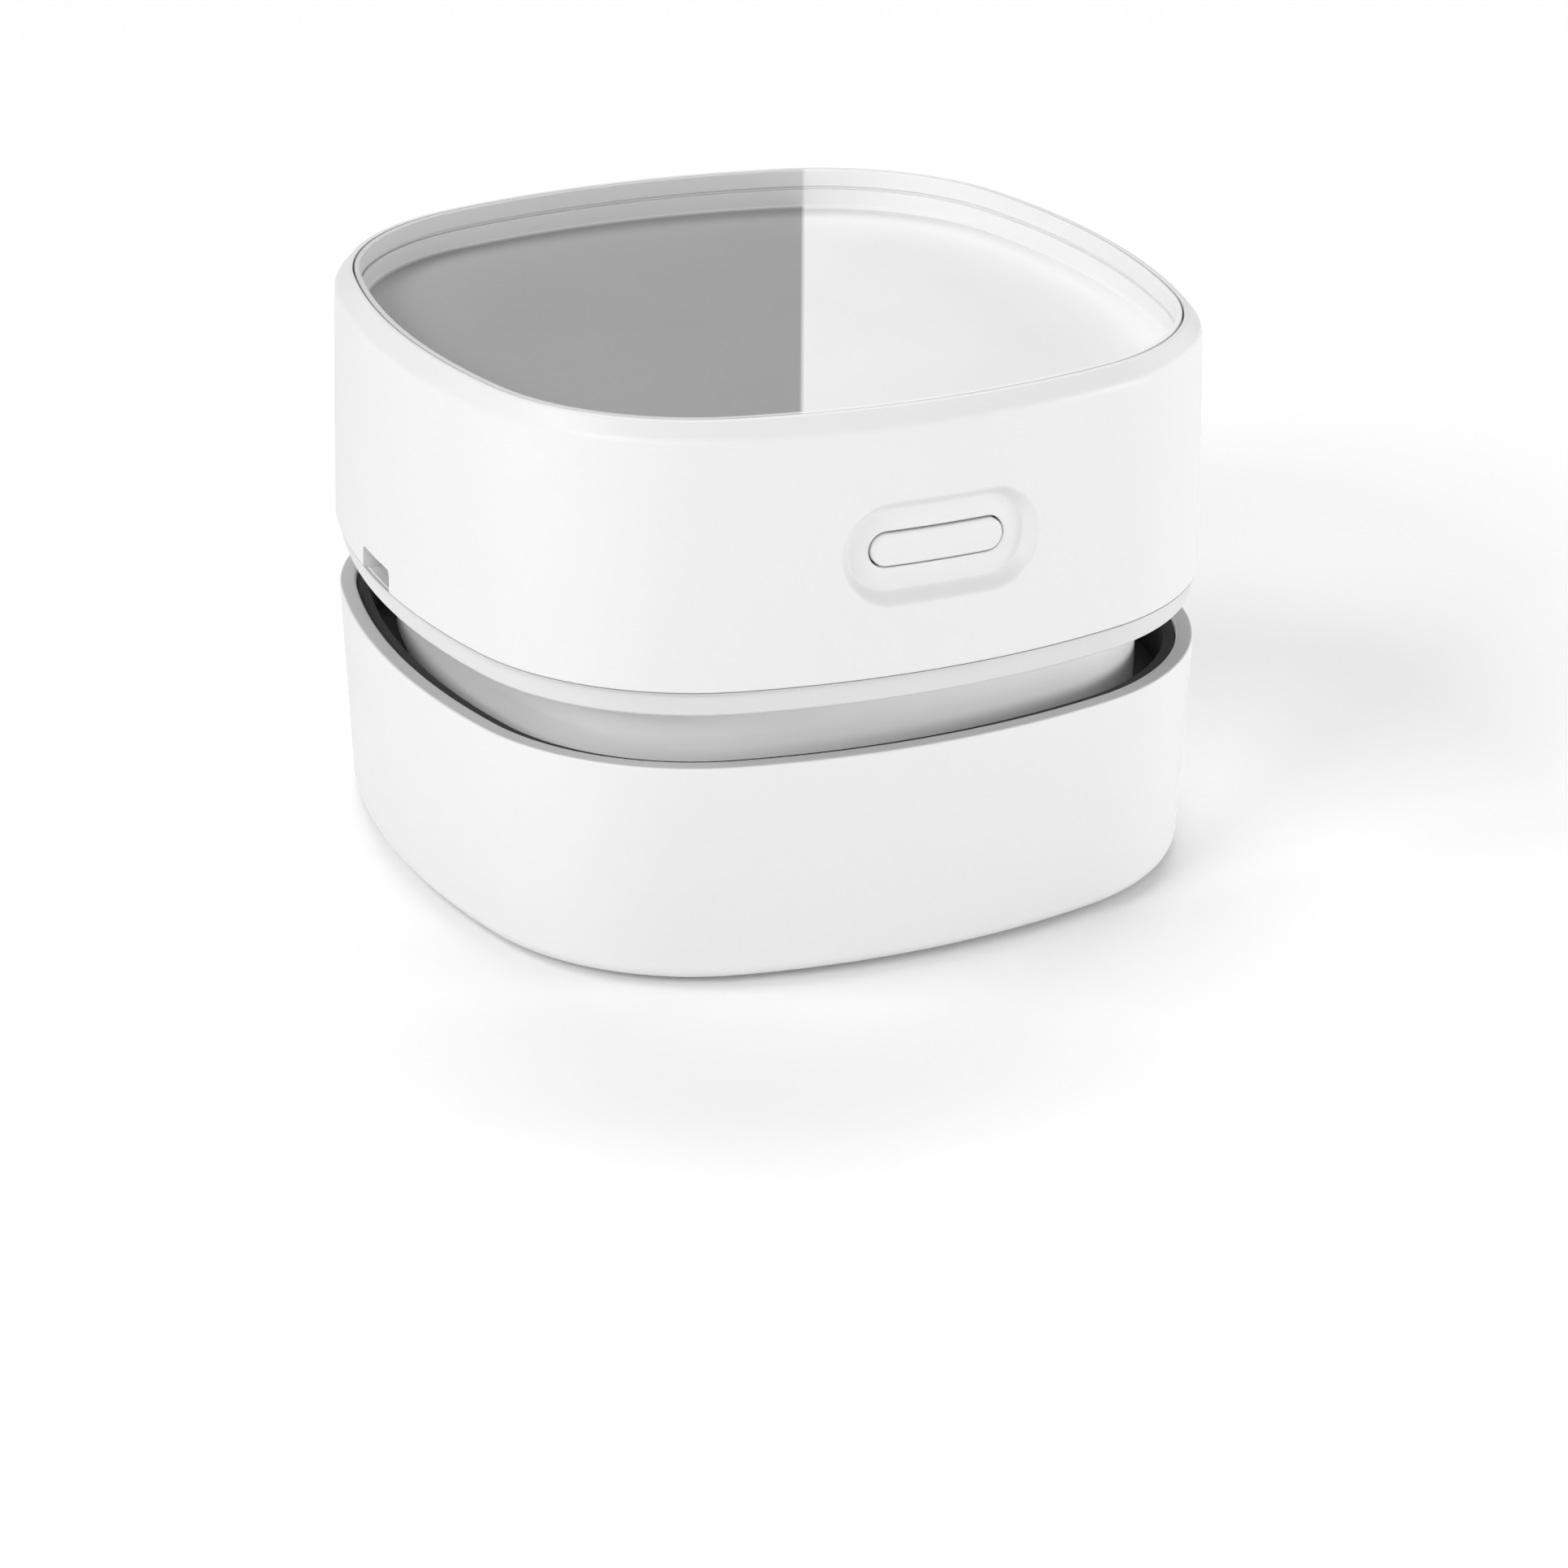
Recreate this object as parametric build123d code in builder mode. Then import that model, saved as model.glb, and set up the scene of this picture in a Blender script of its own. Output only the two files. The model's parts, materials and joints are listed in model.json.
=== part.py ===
"""Desktop mini vacuum cleaner: a soft-square head with a tray on top, standing on a dust-box base.

Millimetres, +Z up, origin on the desk under the middle of the base. The button is on the -Y side.
"""
import os
from math import atan2, cos, degrees, radians, sin, sqrt

from build123d import *

# ---------------------------------------------------------------- overall form
body_width = 86.0  # across the flats, at the top rim
side_radius = 88.6  # plan radius of the bowed sides, at the top rim
corner_radius = 26.6  # plan radius of the corners, at the top rim
foot_height = 1.0
base_height = 24.2
gap_height = 5.8  # open waist between base and head
ring_height = 2.2
head_height = 27.8
head_draft = 0.8  # the head's lower edge stands this much further out than its rim
base_draft = 0.9  # the base's rim stands this much further out than its bottom
base_outset = 0.6  # the base's rim beyond the outline of the top rim
ring_outset = 0.1
head_edge_radius = 1.7
base_edge_radius = 1.6

# ---------------------------------------------------------------- walls and fits
head_wall = 2.0
base_wall = 1.8
base_floor = 1.5
cup_wall = 1.2
cup_floor = 1.0
ledge_width = 1.5
ledge_height = 15.0  # filter ledge above the base's bottom edge
cup_drop = 0.6  # cup's edge below the base's rim
rim_bevel = 0.25
nest_fit = 0.15  # parts nested and fixed in one another
snug_fit = 0.05  # thin parts laid against a wall
lift_fit = 0.3  # parts that lift out of one another
stack_fit = 0.05  # flat faces that come apart
seal_fit = 0.1
shaft_fit = 0.03
same_height = 0.01  # edges nearer than this count as level
seam = 0.2  # line round the tray

# ---------------------------------------------------------------- base plate, feet, brushes, intake
plate_thickness = 2.4
plate_recess = 0.3
plate_margin = 4.0
slot_length = 42.0
slot_width = 7.0
chimney_wall = 1.2
chimney_height = 6.0  # above the cup's floor
chimney_flange = 2.0
flange_thickness = 1.0
brush_length = 50.0
brush_holder_width = 3.0
brush_holder_depth = 1.5
brush_offset = 9.0  # brush centre line from the slot's
bristle_width = 1.6
bristle_lift = 0.1  # bristle tips above the desk
foot_radius = 3.5
foot_seat = 0.5
foot_chamfer = 0.3
foot_margin = 3.0  # foot in from the plate's corner
base_screw_margin = 9.0  # screws in from the plate's sides
base_screw_y = 14.0

# ---------------------------------------------------------------- screws
screw_radius = 1.0
screw_head_radius = 1.9
screw_head_height = 1.3
screw_bite = 5.0  # thread length in a boss
screw_end_room = 1.0  # hole beyond the screw's end
drive_length = 2.2  # cross recess
drive_width = 0.5
drive_depth = 0.6
boss_radius = 2.8

# ---------------------------------------------------------------- filter
filter_plate = 1.2
filter_ring = 1.3
filter_depth = 1.8  # ring below the plate
filter_rib = 0.8
mesh_thickness = 0.3
tab_width = 12.0
tab_length = 5.0
tab_thickness = 0.6
tab_corner = 1.5
tab_margin = 2.4  # tab's end to the neck's shelf

# ---------------------------------------------------------------- neck, seal, fan
neck_inset = 5.7  # neck wall in from the outline of the top rim
neck_wall = 1.6
flare_height = 6.0  # flare below the ring
flare_top_inset = 0.9
flare_radius = 3.5
neck_flange = 1.6
neck_shelf = 1.5  # shelf inside the neck that carries the fan plate
seal_thickness = 1.0
seal_lip = 0.8
fan_plate = 1.2
eye_radius = 12.0
eye_wall = 1.2
eye_drop = 1.3
vent_count = 9
vent_width = 2.2
vent_pitch = 4.4
vent_height = 4.4
vent_lift = 1.1  # vents above the fan plate
vent_mesh = 0.3
fan_radius = 20.0
fan_clearance = 0.9  # fan above its plate
fan_height = 7.5
fan_disc = 1.2
hub_radius = 4.0
blade_count = 9
blade_thickness = 1.0
blade_root = 2.0  # blades start this far out from the hub
blade_tip = 1.0  # and end this far in from the rim
blade_sweep = 9.0
blade_bow = 2.5

# ---------------------------------------------------------------- motor
motor_radius = 12.2
motor_length = 12.3
motor_wall = 0.8
shaft_radius = 1.0
shaft_end = 0.5  # shaft above the can
bushing_radius = 3.0
bushing_length = 2.6
magnet_thickness = 2.2
magnet_lift = 2.0
magnet_split = 8.0
magnet_gap = 0.4
rotor_gap = 0.4  # rotor above its bushing
rotor_height = 6.1
rotor_slot = 1.6
rotor_slot_depth = 3.0
commutator_radius = 2.6
commutator_height = 1.2
motor_cap = 1.6
cap_hub = 1.2
terminal_height = 3.3
terminal_width = 2.0
terminal_thickness = 0.5
terminal_offset = 5.0
damper_thickness = 1.0
damper_stand = 1.0  # damper above its mount
mount_wall = 1.2
mount_floor = 1.9
mount_flange = 4.6
mount_flange_thickness = 1.5
mount_head_room = 1.0  # fan top to mount
motor_screw_offset = 8.0
deck_boss_depth = 2.0
deck_boss_wall = 1.2

# ---------------------------------------------------------------- deck and head
lip_height = 1.5
lip_width = 1.2
boss_setback = 3.3  # head screws in from the neck's inner wall, on the diagonals
neck_boss_height = 5.4
rib_width = 1.4
tray_depth = 4.4
tray_floor = 1.8
tray_rim = 0.55
tray_rim_draft = 0.1
tray_step = 1.4  # groove below the rim
tray_groove = 0.35  # its height
tray_groove_depth = 0.3
tray_shoulder = 0.15  # wall under the groove in from the wall above it
tray_cove = 0.6

# ---------------------------------------------------------------- button and its dish
button_height = 13.0  # dish centre above the ring
dish_width = 23.0
dish_tall = 10.9
dish_depth = 1.2
dish_slope = 0.9  # run of the dish's wall for its depth
dish_edge = 0.4
dish_wall = 1.6
button_width = 14.6
button_tall = 3.4
button_gap = 0.2
button_proud = 0.3
button_edge = 0.3
button_travel = 0.8
button_flange = 1.0
button_flange_reach = 1.0
stem_radius = 1.5
stem_length = 1.3
switch_size = 6.0
switch_depth = 3.5
plunger_radius = 1.7
plunger_reach = 1.5  # plunger out of the switch
plunger_depth = 1.6  # plunger inside the switch

# ---------------------------------------------------------------- boards, charging port, battery, leads
board_width = 35.4
board_height = 16.0
board_thickness = 1.2
board_lift = 2.5
board_shelf = 2.0
post_size = 4.0
post_height = 10.0
notch_offset = 1.9  # charging notch from the middle of the -X side, towards +Y
notch_width = 8.4
notch_height = 3.0
notch_radius = 0.8
port_width = 7.6
port_tall = 2.6
port_length = 5.4
port_wall = 0.3
port_corner = 0.6
port_setback = 0.3
tongue_width = 4.2
tongue_tall = 0.8
tongue_setback = 0.8
charge_board_length = 14.0
charge_board_width = 17.0
charge_board_thickness = 1.0
charge_board_setback = 0.6  # board's edge behind the socket's
rail_width = 1.5
rail_length = 10.0
chip_height = 1.4
cell_radius = 7.0
cell_edge = 0.4
cell_end_gap = 0.9  # cell's contacts to the head's bosses
cell_side_gap = 1.0  # cell to the motor mount
cradle_length = 30.0
cradle_width = 13.6
cradle_floor = 1.2
cradle_height = 5.0
contact_thickness = 0.3
contact_width = 4.0
contact_reach = 6.0
lead_radius = 0.5
lead_bend = 1.4
lead_pitch = 2.4
lead_rise = 4.0  # straight run out of each joint
cell_pad_offset = 12.0  # pads across the control board
charge_pad_offset = 13.0
cell_pad_lift = 12.0  # pads up the control board
motor_pad_lift = 9.0
charge_pad_lift = 6.0
cell_lead_turn = (15.0, 5.0)  # where the leads turn, from the middle
motor_lead_turn = -14.0
charge_lead_turn = (-18.0, -20.0)

# ---------------------------------------------------------------- plan outline worked out from the sizes
side_bow = side_radius - body_width / 2  # centre of a side's arc from the middle
corner_centre = (sqrt(2 * (side_radius - corner_radius) ** 2 - side_bow**2) - side_bow) / 2
corner_reach = corner_centre * sqrt(2) + corner_radius  # middle to corner, at the top rim

# ---------------------------------------------------------------- heights worked out from the sizes
base_bottom = foot_height
base_top = base_bottom + base_height
ring_bottom = base_top + gap_height
ring_top = ring_bottom + ring_height
head_top = ring_top + head_height
plate_bottom = base_bottom + plate_recess
plate_top = plate_bottom + plate_thickness
floor_top = plate_top + base_floor
cup_floor_top = floor_top + cup_floor
cup_top = base_top - cup_drop
ledge_top = base_bottom + ledge_height
filter_bottom = ledge_top + stack_fit
filter_top = filter_bottom + filter_plate
neck_bottom = filter_top + stack_fit
flange_top = neck_bottom + neck_flange
seal_top = flange_top + seal_thickness
fan_plate_top = flange_top + fan_plate
fan_bottom = fan_plate_top + fan_clearance
fan_top = fan_bottom + fan_height
mount_bottom = fan_top + mount_head_room
motor_bottom = mount_bottom + mount_floor
motor_top = motor_bottom + motor_length
flare_bottom = ring_bottom - flare_height
tray_floor_top = head_top - tray_depth
tray_bottom = tray_floor_top - tray_floor
dish_centre = ring_top + button_height
cell_centre = ring_top + cradle_floor + cell_radius
boss_reach = corner_reach - neck_inset - neck_wall - boss_setback
boss_x = boss_reach / sqrt(2)
foot_offset = (corner_reach - plate_margin - foot_margin - foot_radius) / sqrt(2)
base_screw_x = body_width / 2 - plate_margin - base_screw_margin
cell_length = 2 * (boss_x - boss_radius - cell_end_gap - contact_thickness)
damper_outer = motor_radius + damper_thickness
mount_outer = damper_outer + mount_wall
cell_offset = mount_outer + mount_flange + cell_side_gap + cell_radius
neck_boss_bottom = ring_bottom - neck_boss_height
neck_inside = body_width / 2 - neck_inset - neck_wall - neck_shelf
filter_radius = neck_inside - tab_margin - tab_length - filter_ring


def head_inset(height):
    """Inset of the head's outer wall from the outline of the top rim."""
    return -head_draft * (head_top - height) / head_height


def base_inset(height):
    """Inset of the base's outer wall from the outline of the top rim."""
    return -base_outset + base_draft * (base_top - height) / base_height


def cup_inset(height):
    """Inset of the dust cup's inner wall above its ledge."""
    return base_inset(height) + base_wall + nest_fit + cup_wall


class SoftSquare(BaseSketchObject):
    """Square with bowed sides and round corners: eight tangent arcs, inset from the top rim."""

    def __init__(self, inset=0.0, mode=Mode.ADD):
        side = side_radius - inset
        corner = corner_radius - inset
        tangent = degrees(atan2(-corner_centre - side_bow, corner_centre))
        with BuildSketch() as shape:
            with BuildLine():
                for turn in (0, 90, 180, 270):
                    side_middle = Vector(0, side_bow).rotate(Axis.Z, turn)
                    corner_middle = Vector(corner_centre, -corner_centre).rotate(Axis.Z, turn)
                    CenterArc(side_middle, side, turn - 180 - tangent, 180 + 2 * tangent)
                    CenterArc(corner_middle, corner, turn + tangent, -90 - 2 * tangent)
            make_face()
        super().__init__(obj=shape.sketch, mode=mode)


def edges_at(part, height):
    """Edges of a part that lie at a height."""
    return part.edges().filter_by_position(Axis.Z, height - same_height, height + same_height)


def drafted(levels, mode=Mode.ADD):
    """Soft-square solid with straight walls through (height, inset) pairs."""
    sections = []
    for height, inset in levels:
        with BuildSketch(Plane.XY.offset(height)) as level:
            SoftSquare(inset)
        sections.append(level.sketch.face())
    loft(sections, ruled=True, mode=mode)


def screws(places, head_bottom, length, upwards=True):
    """Pan-head screws at the places, with their heads below (or above) the shanks."""
    step = 1 if upwards else -1
    with BuildPart() as group:
        with BuildSketch(Plane.XY.offset(head_bottom)):
            with Locations(*places):
                Circle(screw_head_radius)
        extrude(amount=step * screw_head_height)
        with BuildSketch(Plane.XY.offset(head_bottom + step * screw_head_height)):
            with Locations(*places):
                Circle(screw_radius)
        extrude(amount=step * length)
        with BuildSketch(Plane.XY.offset(head_bottom)):
            with Locations(*places):
                Rectangle(drive_length, drive_width)
                Rectangle(drive_width, drive_length)
        extrude(amount=step * drive_depth, mode=Mode.SUBTRACT)
    return group.part


def save(part, name):
    """Label a finished piece and write it."""
    part.label = name
    export_step(part, f"parts/{name}.step")


os.makedirs("parts", exist_ok=True)
base_screw_places = [(x, y) for x in (-base_screw_x, base_screw_x) for y in (-base_screw_y, base_screw_y)]
foot_places = [(x, y) for x in (-foot_offset, foot_offset) for y in (-foot_offset, foot_offset)]
boss_places = [(x, y) for x in (-boss_x, boss_x) for y in (-boss_x, boss_x)]
chimney_length = slot_length + 2 * chimney_wall
chimney_width = slot_width + 2 * chimney_wall

# ================================================================ base
with BuildPart() as lower_shell:
    drafted([(height, base_inset(height)) for height in (base_bottom, base_top)])
    fillet(lower_shell.faces().sort_by(Axis.Z)[0].edges(), base_edge_radius)
    drafted(
        [(height, base_inset(height) + base_wall) for height in (floor_top, base_top)], mode=Mode.SUBTRACT
    )
    chamfer(lower_shell.faces().sort_by(Axis.Z)[-1].inner_wires()[0].edges(), rim_bevel)
    with BuildSketch(Plane.XY.offset(base_bottom)):
        SoftSquare(plate_margin)
    extrude(amount=plate_top - base_bottom, mode=Mode.SUBTRACT)
    with BuildSketch(Plane.XY.offset(plate_top)):
        SlotOverall(chimney_length + 2 * nest_fit, chimney_width + 2 * nest_fit)
        with Locations(*base_screw_places):
            Circle(screw_radius)
    extrude(amount=base_floor, mode=Mode.SUBTRACT)
save(lower_shell.part, "lower_shell")

with BuildPart() as dust_cup:
    drafted([(height, cup_inset(height) - cup_wall) for height in (floor_top, cup_top)])
    drafted([(height, cup_inset(height)) for height in (ledge_top, cup_top)], mode=Mode.SUBTRACT)
    drafted(
        [(height, cup_inset(height) + ledge_width) for height in (cup_floor_top, ledge_top)],
        mode=Mode.SUBTRACT,
    )
    with BuildSketch(Plane.XY.offset(cup_floor_top)):
        with Locations(*base_screw_places):
            Circle(boss_radius)
    extrude(amount=screw_bite + screw_end_room)
    with BuildSketch(Plane.XY.offset(floor_top)):
        SlotOverall(chimney_length + 2 * nest_fit, chimney_width + 2 * nest_fit)
    extrude(amount=cup_floor, mode=Mode.SUBTRACT)
    with BuildSketch(Plane.XY.offset(floor_top)):
        with Locations(*base_screw_places):
            Circle(screw_radius)
    extrude(amount=screw_bite, mode=Mode.SUBTRACT)
save(dust_cup.part, "dust_cup")

with BuildPart() as intake_chimney:
    with BuildSketch(Plane.XY.offset(plate_top)):
        SlotOverall(chimney_length, chimney_width)
    extrude(amount=cup_floor_top + chimney_height - plate_top)
    with BuildSketch(Plane.XY.offset(cup_floor_top)):
        SlotOverall(chimney_length + 2 * chimney_flange, chimney_width + 2 * chimney_flange)
    extrude(amount=flange_thickness)
    with BuildSketch(Plane.XY.offset(plate_top)):
        SlotOverall(slot_length, slot_width)
    extrude(amount=cup_floor_top + chimney_height - plate_top, mode=Mode.SUBTRACT)
save(intake_chimney.part, "intake_chimney")

brush_lines = {"front": -brush_offset, "rear": brush_offset}
with BuildPart() as base_plate:
    with BuildSketch(Plane.XY.offset(plate_bottom)):
        SoftSquare(plate_margin + nest_fit)
        SlotOverall(slot_length, slot_width, mode=Mode.SUBTRACT)
    extrude(amount=plate_thickness)
    with BuildSketch(Plane.XY.offset(plate_bottom)):
        with Locations(*[(0, y) for y in brush_lines.values()]):
            Rectangle(brush_length, brush_holder_width)
    extrude(amount=brush_holder_depth, mode=Mode.SUBTRACT)
    with BuildSketch(Plane.XY.offset(plate_bottom)):
        with Locations(*foot_places):
            Circle(foot_radius)
    extrude(amount=foot_seat, mode=Mode.SUBTRACT)
    with BuildSketch(Plane.XY.offset(plate_bottom)):
        with Locations(*base_screw_places):
            Circle(screw_head_radius)
    extrude(amount=screw_head_height, mode=Mode.SUBTRACT)
    with BuildSketch(Plane.XY.offset(plate_bottom)):
        with Locations(*base_screw_places):
            Circle(screw_radius)
    extrude(amount=plate_thickness, mode=Mode.SUBTRACT)
save(base_plate.part, "base_plate")

for side, line in brush_lines.items():
    with BuildPart() as brush_holder:
        with BuildSketch(Plane.XY.offset(plate_bottom)):
            with Locations((0, line)):
                Rectangle(brush_length, brush_holder_width)
        extrude(amount=brush_holder_depth)
    save(brush_holder.part, f"brush_holder_{side}")
    with BuildPart() as bristles:
        with BuildSketch(Plane.XY.offset(bristle_lift)):
            with Locations((0, line)):
                Rectangle(brush_length - bristle_width, bristle_width)
        extrude(amount=plate_bottom - bristle_lift)
    save(bristles.part, f"bristles_{side}")

with BuildPart() as foot_pads:
    with BuildSketch():
        with Locations(*foot_places):
            Circle(foot_radius)
    extrude(amount=plate_bottom + foot_seat)
    chamfer(foot_pads.edges().group_by(Axis.Z)[0], foot_chamfer)
save(foot_pads.part, "foot_pads")
base_screw_length = floor_top + screw_bite - plate_bottom - screw_head_height
save(screws(base_screw_places, plate_bottom, base_screw_length), "base_screws")

# ================================================================ filter
with BuildPart() as filter_frame:
    with BuildSketch(Plane.XY.offset(filter_bottom)):
        SoftSquare(cup_inset(ledge_top) + lift_fit)
    extrude(amount=filter_plate)
    with BuildSketch(Plane.XY.offset(filter_bottom - filter_depth)):
        Circle(filter_radius + filter_ring)
    extrude(amount=filter_depth)
    with BuildSketch(Plane.XY.offset(filter_bottom - filter_depth)):
        Circle(filter_radius)
    extrude(amount=filter_depth + filter_plate, mode=Mode.SUBTRACT)
    with BuildSketch(Plane.XY.offset(filter_bottom - filter_depth)):
        Rectangle(2 * filter_radius + filter_ring, filter_ring)
        Rectangle(filter_ring, 2 * filter_radius + filter_ring)
    extrude(amount=filter_rib)
save(filter_frame.part, "filter_frame")

mesh_bottom = filter_bottom - filter_depth + filter_rib
with BuildPart() as filter_mesh:
    with BuildSketch(Plane.XY.offset(mesh_bottom)):
        Circle(filter_radius)
    extrude(amount=mesh_thickness)
save(filter_mesh.part, "filter_mesh")

with BuildPart() as filter_pad:
    with BuildSketch(Plane.XY.offset(mesh_bottom + mesh_thickness)):
        Circle(filter_radius)
    extrude(amount=filter_top - mesh_bottom - mesh_thickness)
save(filter_pad.part, "filter_pad")

with BuildPart() as filter_tab:
    with BuildSketch(Plane.XY.offset(filter_top)):
        with Locations((0, filter_radius + filter_ring + tab_length / 2)):
            RectangleRounded(tab_width, tab_length, tab_corner)
    extrude(amount=tab_thickness)
save(filter_tab.part, "filter_tab")

# ================================================================ neck and fan
neck_inner = neck_inset + neck_wall
flange_inset = cup_inset(neck_bottom) + lift_fit
flare_slope = (neck_inset - flare_top_inset) / flare_height
neck_rib_end = corner_reach - neck_inset + (neck_boss_bottom - flare_bottom) * flare_slope - rib_width / 2
with BuildPart() as neck:
    drafted([(flange_top, neck_inset), (flare_bottom, neck_inset), (ring_bottom, flare_top_inset)])
    fillet(edges_at(neck, flare_bottom), flare_radius)
    with BuildSketch(Plane.XY.offset(neck_bottom)):
        SoftSquare(flange_inset)
    extrude(amount=neck_flange)
    inner_top = flare_top_inset + neck_wall * sqrt(1 + flare_slope**2)
    inner_fold = ring_bottom - (neck_inner - inner_top) / flare_slope
    drafted(
        [(flange_top, neck_inner), (inner_fold, neck_inner), (ring_bottom, inner_top)], mode=Mode.SUBTRACT
    )
    with BuildSketch(Plane.XY.offset(neck_bottom)):
        SoftSquare(neck_inner + neck_shelf)
    extrude(amount=neck_flange, mode=Mode.SUBTRACT)
    with BuildSketch(Plane.XY.offset(neck_boss_bottom)):
        with Locations(*boss_places):
            Circle(boss_radius)
        with PolarLocations((boss_reach + neck_rib_end) / 2, 4, 45):
            Rectangle(neck_rib_end - boss_reach, rib_width)
    extrude(amount=neck_boss_height)
    with BuildSketch(Plane.XY.offset(neck_boss_bottom)):
        with Locations(*boss_places):
            Circle(screw_radius)
    extrude(amount=neck_boss_height, mode=Mode.SUBTRACT)
    vent_middle = fan_plate_top + vent_lift + vent_height / 2
    with BuildSketch(Plane.XZ.offset(-fan_radius)):
        with Locations((0, vent_middle)):
            with GridLocations(vent_pitch, 0, vent_count, 1):
                SlotOverall(vent_height, vent_width, rotation=90)
    extrude(amount=-body_width / 2, mode=Mode.SUBTRACT)
save(neck.part, "neck")

with BuildPart() as vent_screen:
    screen_inset = neck_inner + snug_fit
    drafted([(fan_plate_top, screen_inset), (inner_fold, screen_inset)])
    drafted(
        [(fan_plate_top, screen_inset + vent_mesh), (inner_fold, screen_inset + vent_mesh)],
        mode=Mode.SUBTRACT,
    )
    with BuildSketch(Plane.XY.offset(fan_plate_top)):
        with Locations((0, body_width / 2)):
            Rectangle(vent_pitch * vent_count, body_width)
    extrude(amount=inner_fold - fan_plate_top, mode=Mode.INTERSECT)
save(vent_screen.part, "vent_screen")

with BuildPart() as seal_ring:
    with BuildSketch(Plane.XY.offset(neck_bottom + seal_lip)):
        SoftSquare(cup_inset(neck_bottom) + seal_fit)
    extrude(amount=seal_top - neck_bottom - seal_lip)
    with BuildSketch(Plane.XY.offset(neck_bottom + seal_lip)):
        SoftSquare(flange_inset)
    extrude(amount=neck_flange - seal_lip, mode=Mode.SUBTRACT)
    with BuildSketch(Plane.XY.offset(flange_top)):
        SoftSquare(neck_inset)
    extrude(amount=seal_thickness, mode=Mode.SUBTRACT)
save(seal_ring.part, "seal_ring")

with BuildPart() as fan_cover:
    with BuildSketch(Plane.XY.offset(flange_top)):
        SoftSquare(neck_inner + snug_fit)
    extrude(amount=fan_plate)
    with BuildSketch(Plane.XY.offset(flange_top - eye_drop)):
        Circle(eye_radius + eye_wall)
    extrude(amount=eye_drop)
    with BuildSketch(Plane.XY.offset(flange_top - eye_drop)):
        Circle(eye_radius)
    extrude(amount=eye_drop + fan_plate, mode=Mode.SUBTRACT)
save(fan_cover.part, "fan_cover")

with BuildPart() as fan_wheel:
    with BuildSketch(Plane.XY.offset(fan_bottom)):
        Circle(hub_radius)
    extrude(amount=fan_height)
    with BuildSketch(Plane.XY.offset(fan_top - fan_disc)):
        Circle(fan_radius)
    extrude(amount=fan_disc)
    with BuildSketch(Plane.XY.offset(fan_bottom)):
        with PolarLocations(0, blade_count):
            with BuildLine():
                ThreePointArc(
                    (hub_radius + blade_root, 0),
                    ((fan_radius + hub_radius) / 2, -blade_bow),
                    (fan_radius - blade_tip, -blade_sweep),
                )
            trace(line_width=blade_thickness)
    extrude(amount=fan_height - fan_disc)
    with BuildSketch(Plane.XY.offset(fan_bottom)):
        Circle(shaft_radius)
    extrude(amount=fan_height, mode=Mode.SUBTRACT)
save(fan_wheel.part, "fan_wheel")

# ================================================================ motor
shaft_top = motor_top + shaft_end
with BuildPart() as motor_shaft:
    with BuildSketch(Plane.XY.offset(fan_bottom)):
        Circle(shaft_radius)
    extrude(amount=shaft_top - fan_bottom)
save(motor_shaft.part, "motor_shaft")

can_inner = motor_radius - motor_wall
rotor_radius = can_inner - magnet_thickness - magnet_gap
rotor_bottom = motor_bottom + bushing_length + rotor_gap
rotor_top = rotor_bottom + rotor_height
with BuildPart() as motor_rotor:
    with BuildSketch(Plane.XY.offset(rotor_bottom)):
        Circle(rotor_radius)
        with PolarLocations(rotor_radius, 3):
            Rectangle(2 * rotor_slot_depth, rotor_slot, mode=Mode.SUBTRACT)
    extrude(amount=rotor_top - rotor_bottom)
    with BuildSketch(Plane.XY.offset(rotor_top)):
        Circle(commutator_radius)
    extrude(amount=commutator_height)
    with BuildSketch(Plane.XY.offset(rotor_bottom)):
        Circle(shaft_radius)
    extrude(amount=rotor_height + commutator_height, mode=Mode.SUBTRACT)
save(motor_rotor.part, "motor_rotor")

with BuildPart() as motor_can:
    with BuildSketch(Plane.XY.offset(motor_bottom)):
        Circle(motor_radius)
    extrude(amount=motor_length)
    with BuildSketch(Plane.XY.offset(motor_bottom + motor_wall)):
        Circle(can_inner)
    extrude(amount=motor_length - motor_wall, mode=Mode.SUBTRACT)
    with BuildSketch(Plane.XY.offset(motor_bottom)):
        Circle(bushing_radius)
        with GridLocations(2 * motor_screw_offset, 0, 2, 1):
            Circle(screw_radius)
    extrude(amount=motor_wall, mode=Mode.SUBTRACT)
save(motor_can.part, "motor_can")

with BuildPart() as motor_bushing:
    with BuildSketch(Plane.XY.offset(motor_bottom)):
        Circle(bushing_radius)
        Circle(shaft_radius + shaft_fit, mode=Mode.SUBTRACT)
    extrude(amount=bushing_length)
save(motor_bushing.part, "motor_bushing")

with BuildPart() as motor_magnets:
    with BuildSketch(Plane.XY.offset(motor_bottom + magnet_lift)):
        Circle(can_inner)
        Circle(can_inner - magnet_thickness, mode=Mode.SUBTRACT)
        Rectangle(magnet_split, 2 * motor_radius, mode=Mode.SUBTRACT)
    extrude(amount=motor_length - motor_cap - magnet_lift - stack_fit)
save(motor_magnets.part, "motor_magnets")

with BuildPart() as motor_end_cap:
    with BuildSketch(Plane.XY.offset(motor_top - motor_cap)):
        Circle(can_inner)
    extrude(amount=motor_cap)
    with BuildSketch(Plane.XY.offset(motor_top)):
        Circle(bushing_radius)
    extrude(amount=cap_hub)
    with BuildSketch(Plane.XY.offset(motor_top - motor_cap)):
        Circle(shaft_radius + shaft_fit)
    extrude(amount=shaft_top + shaft_fit - motor_top + motor_cap, mode=Mode.SUBTRACT)
save(motor_end_cap.part, "motor_end_cap")

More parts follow.
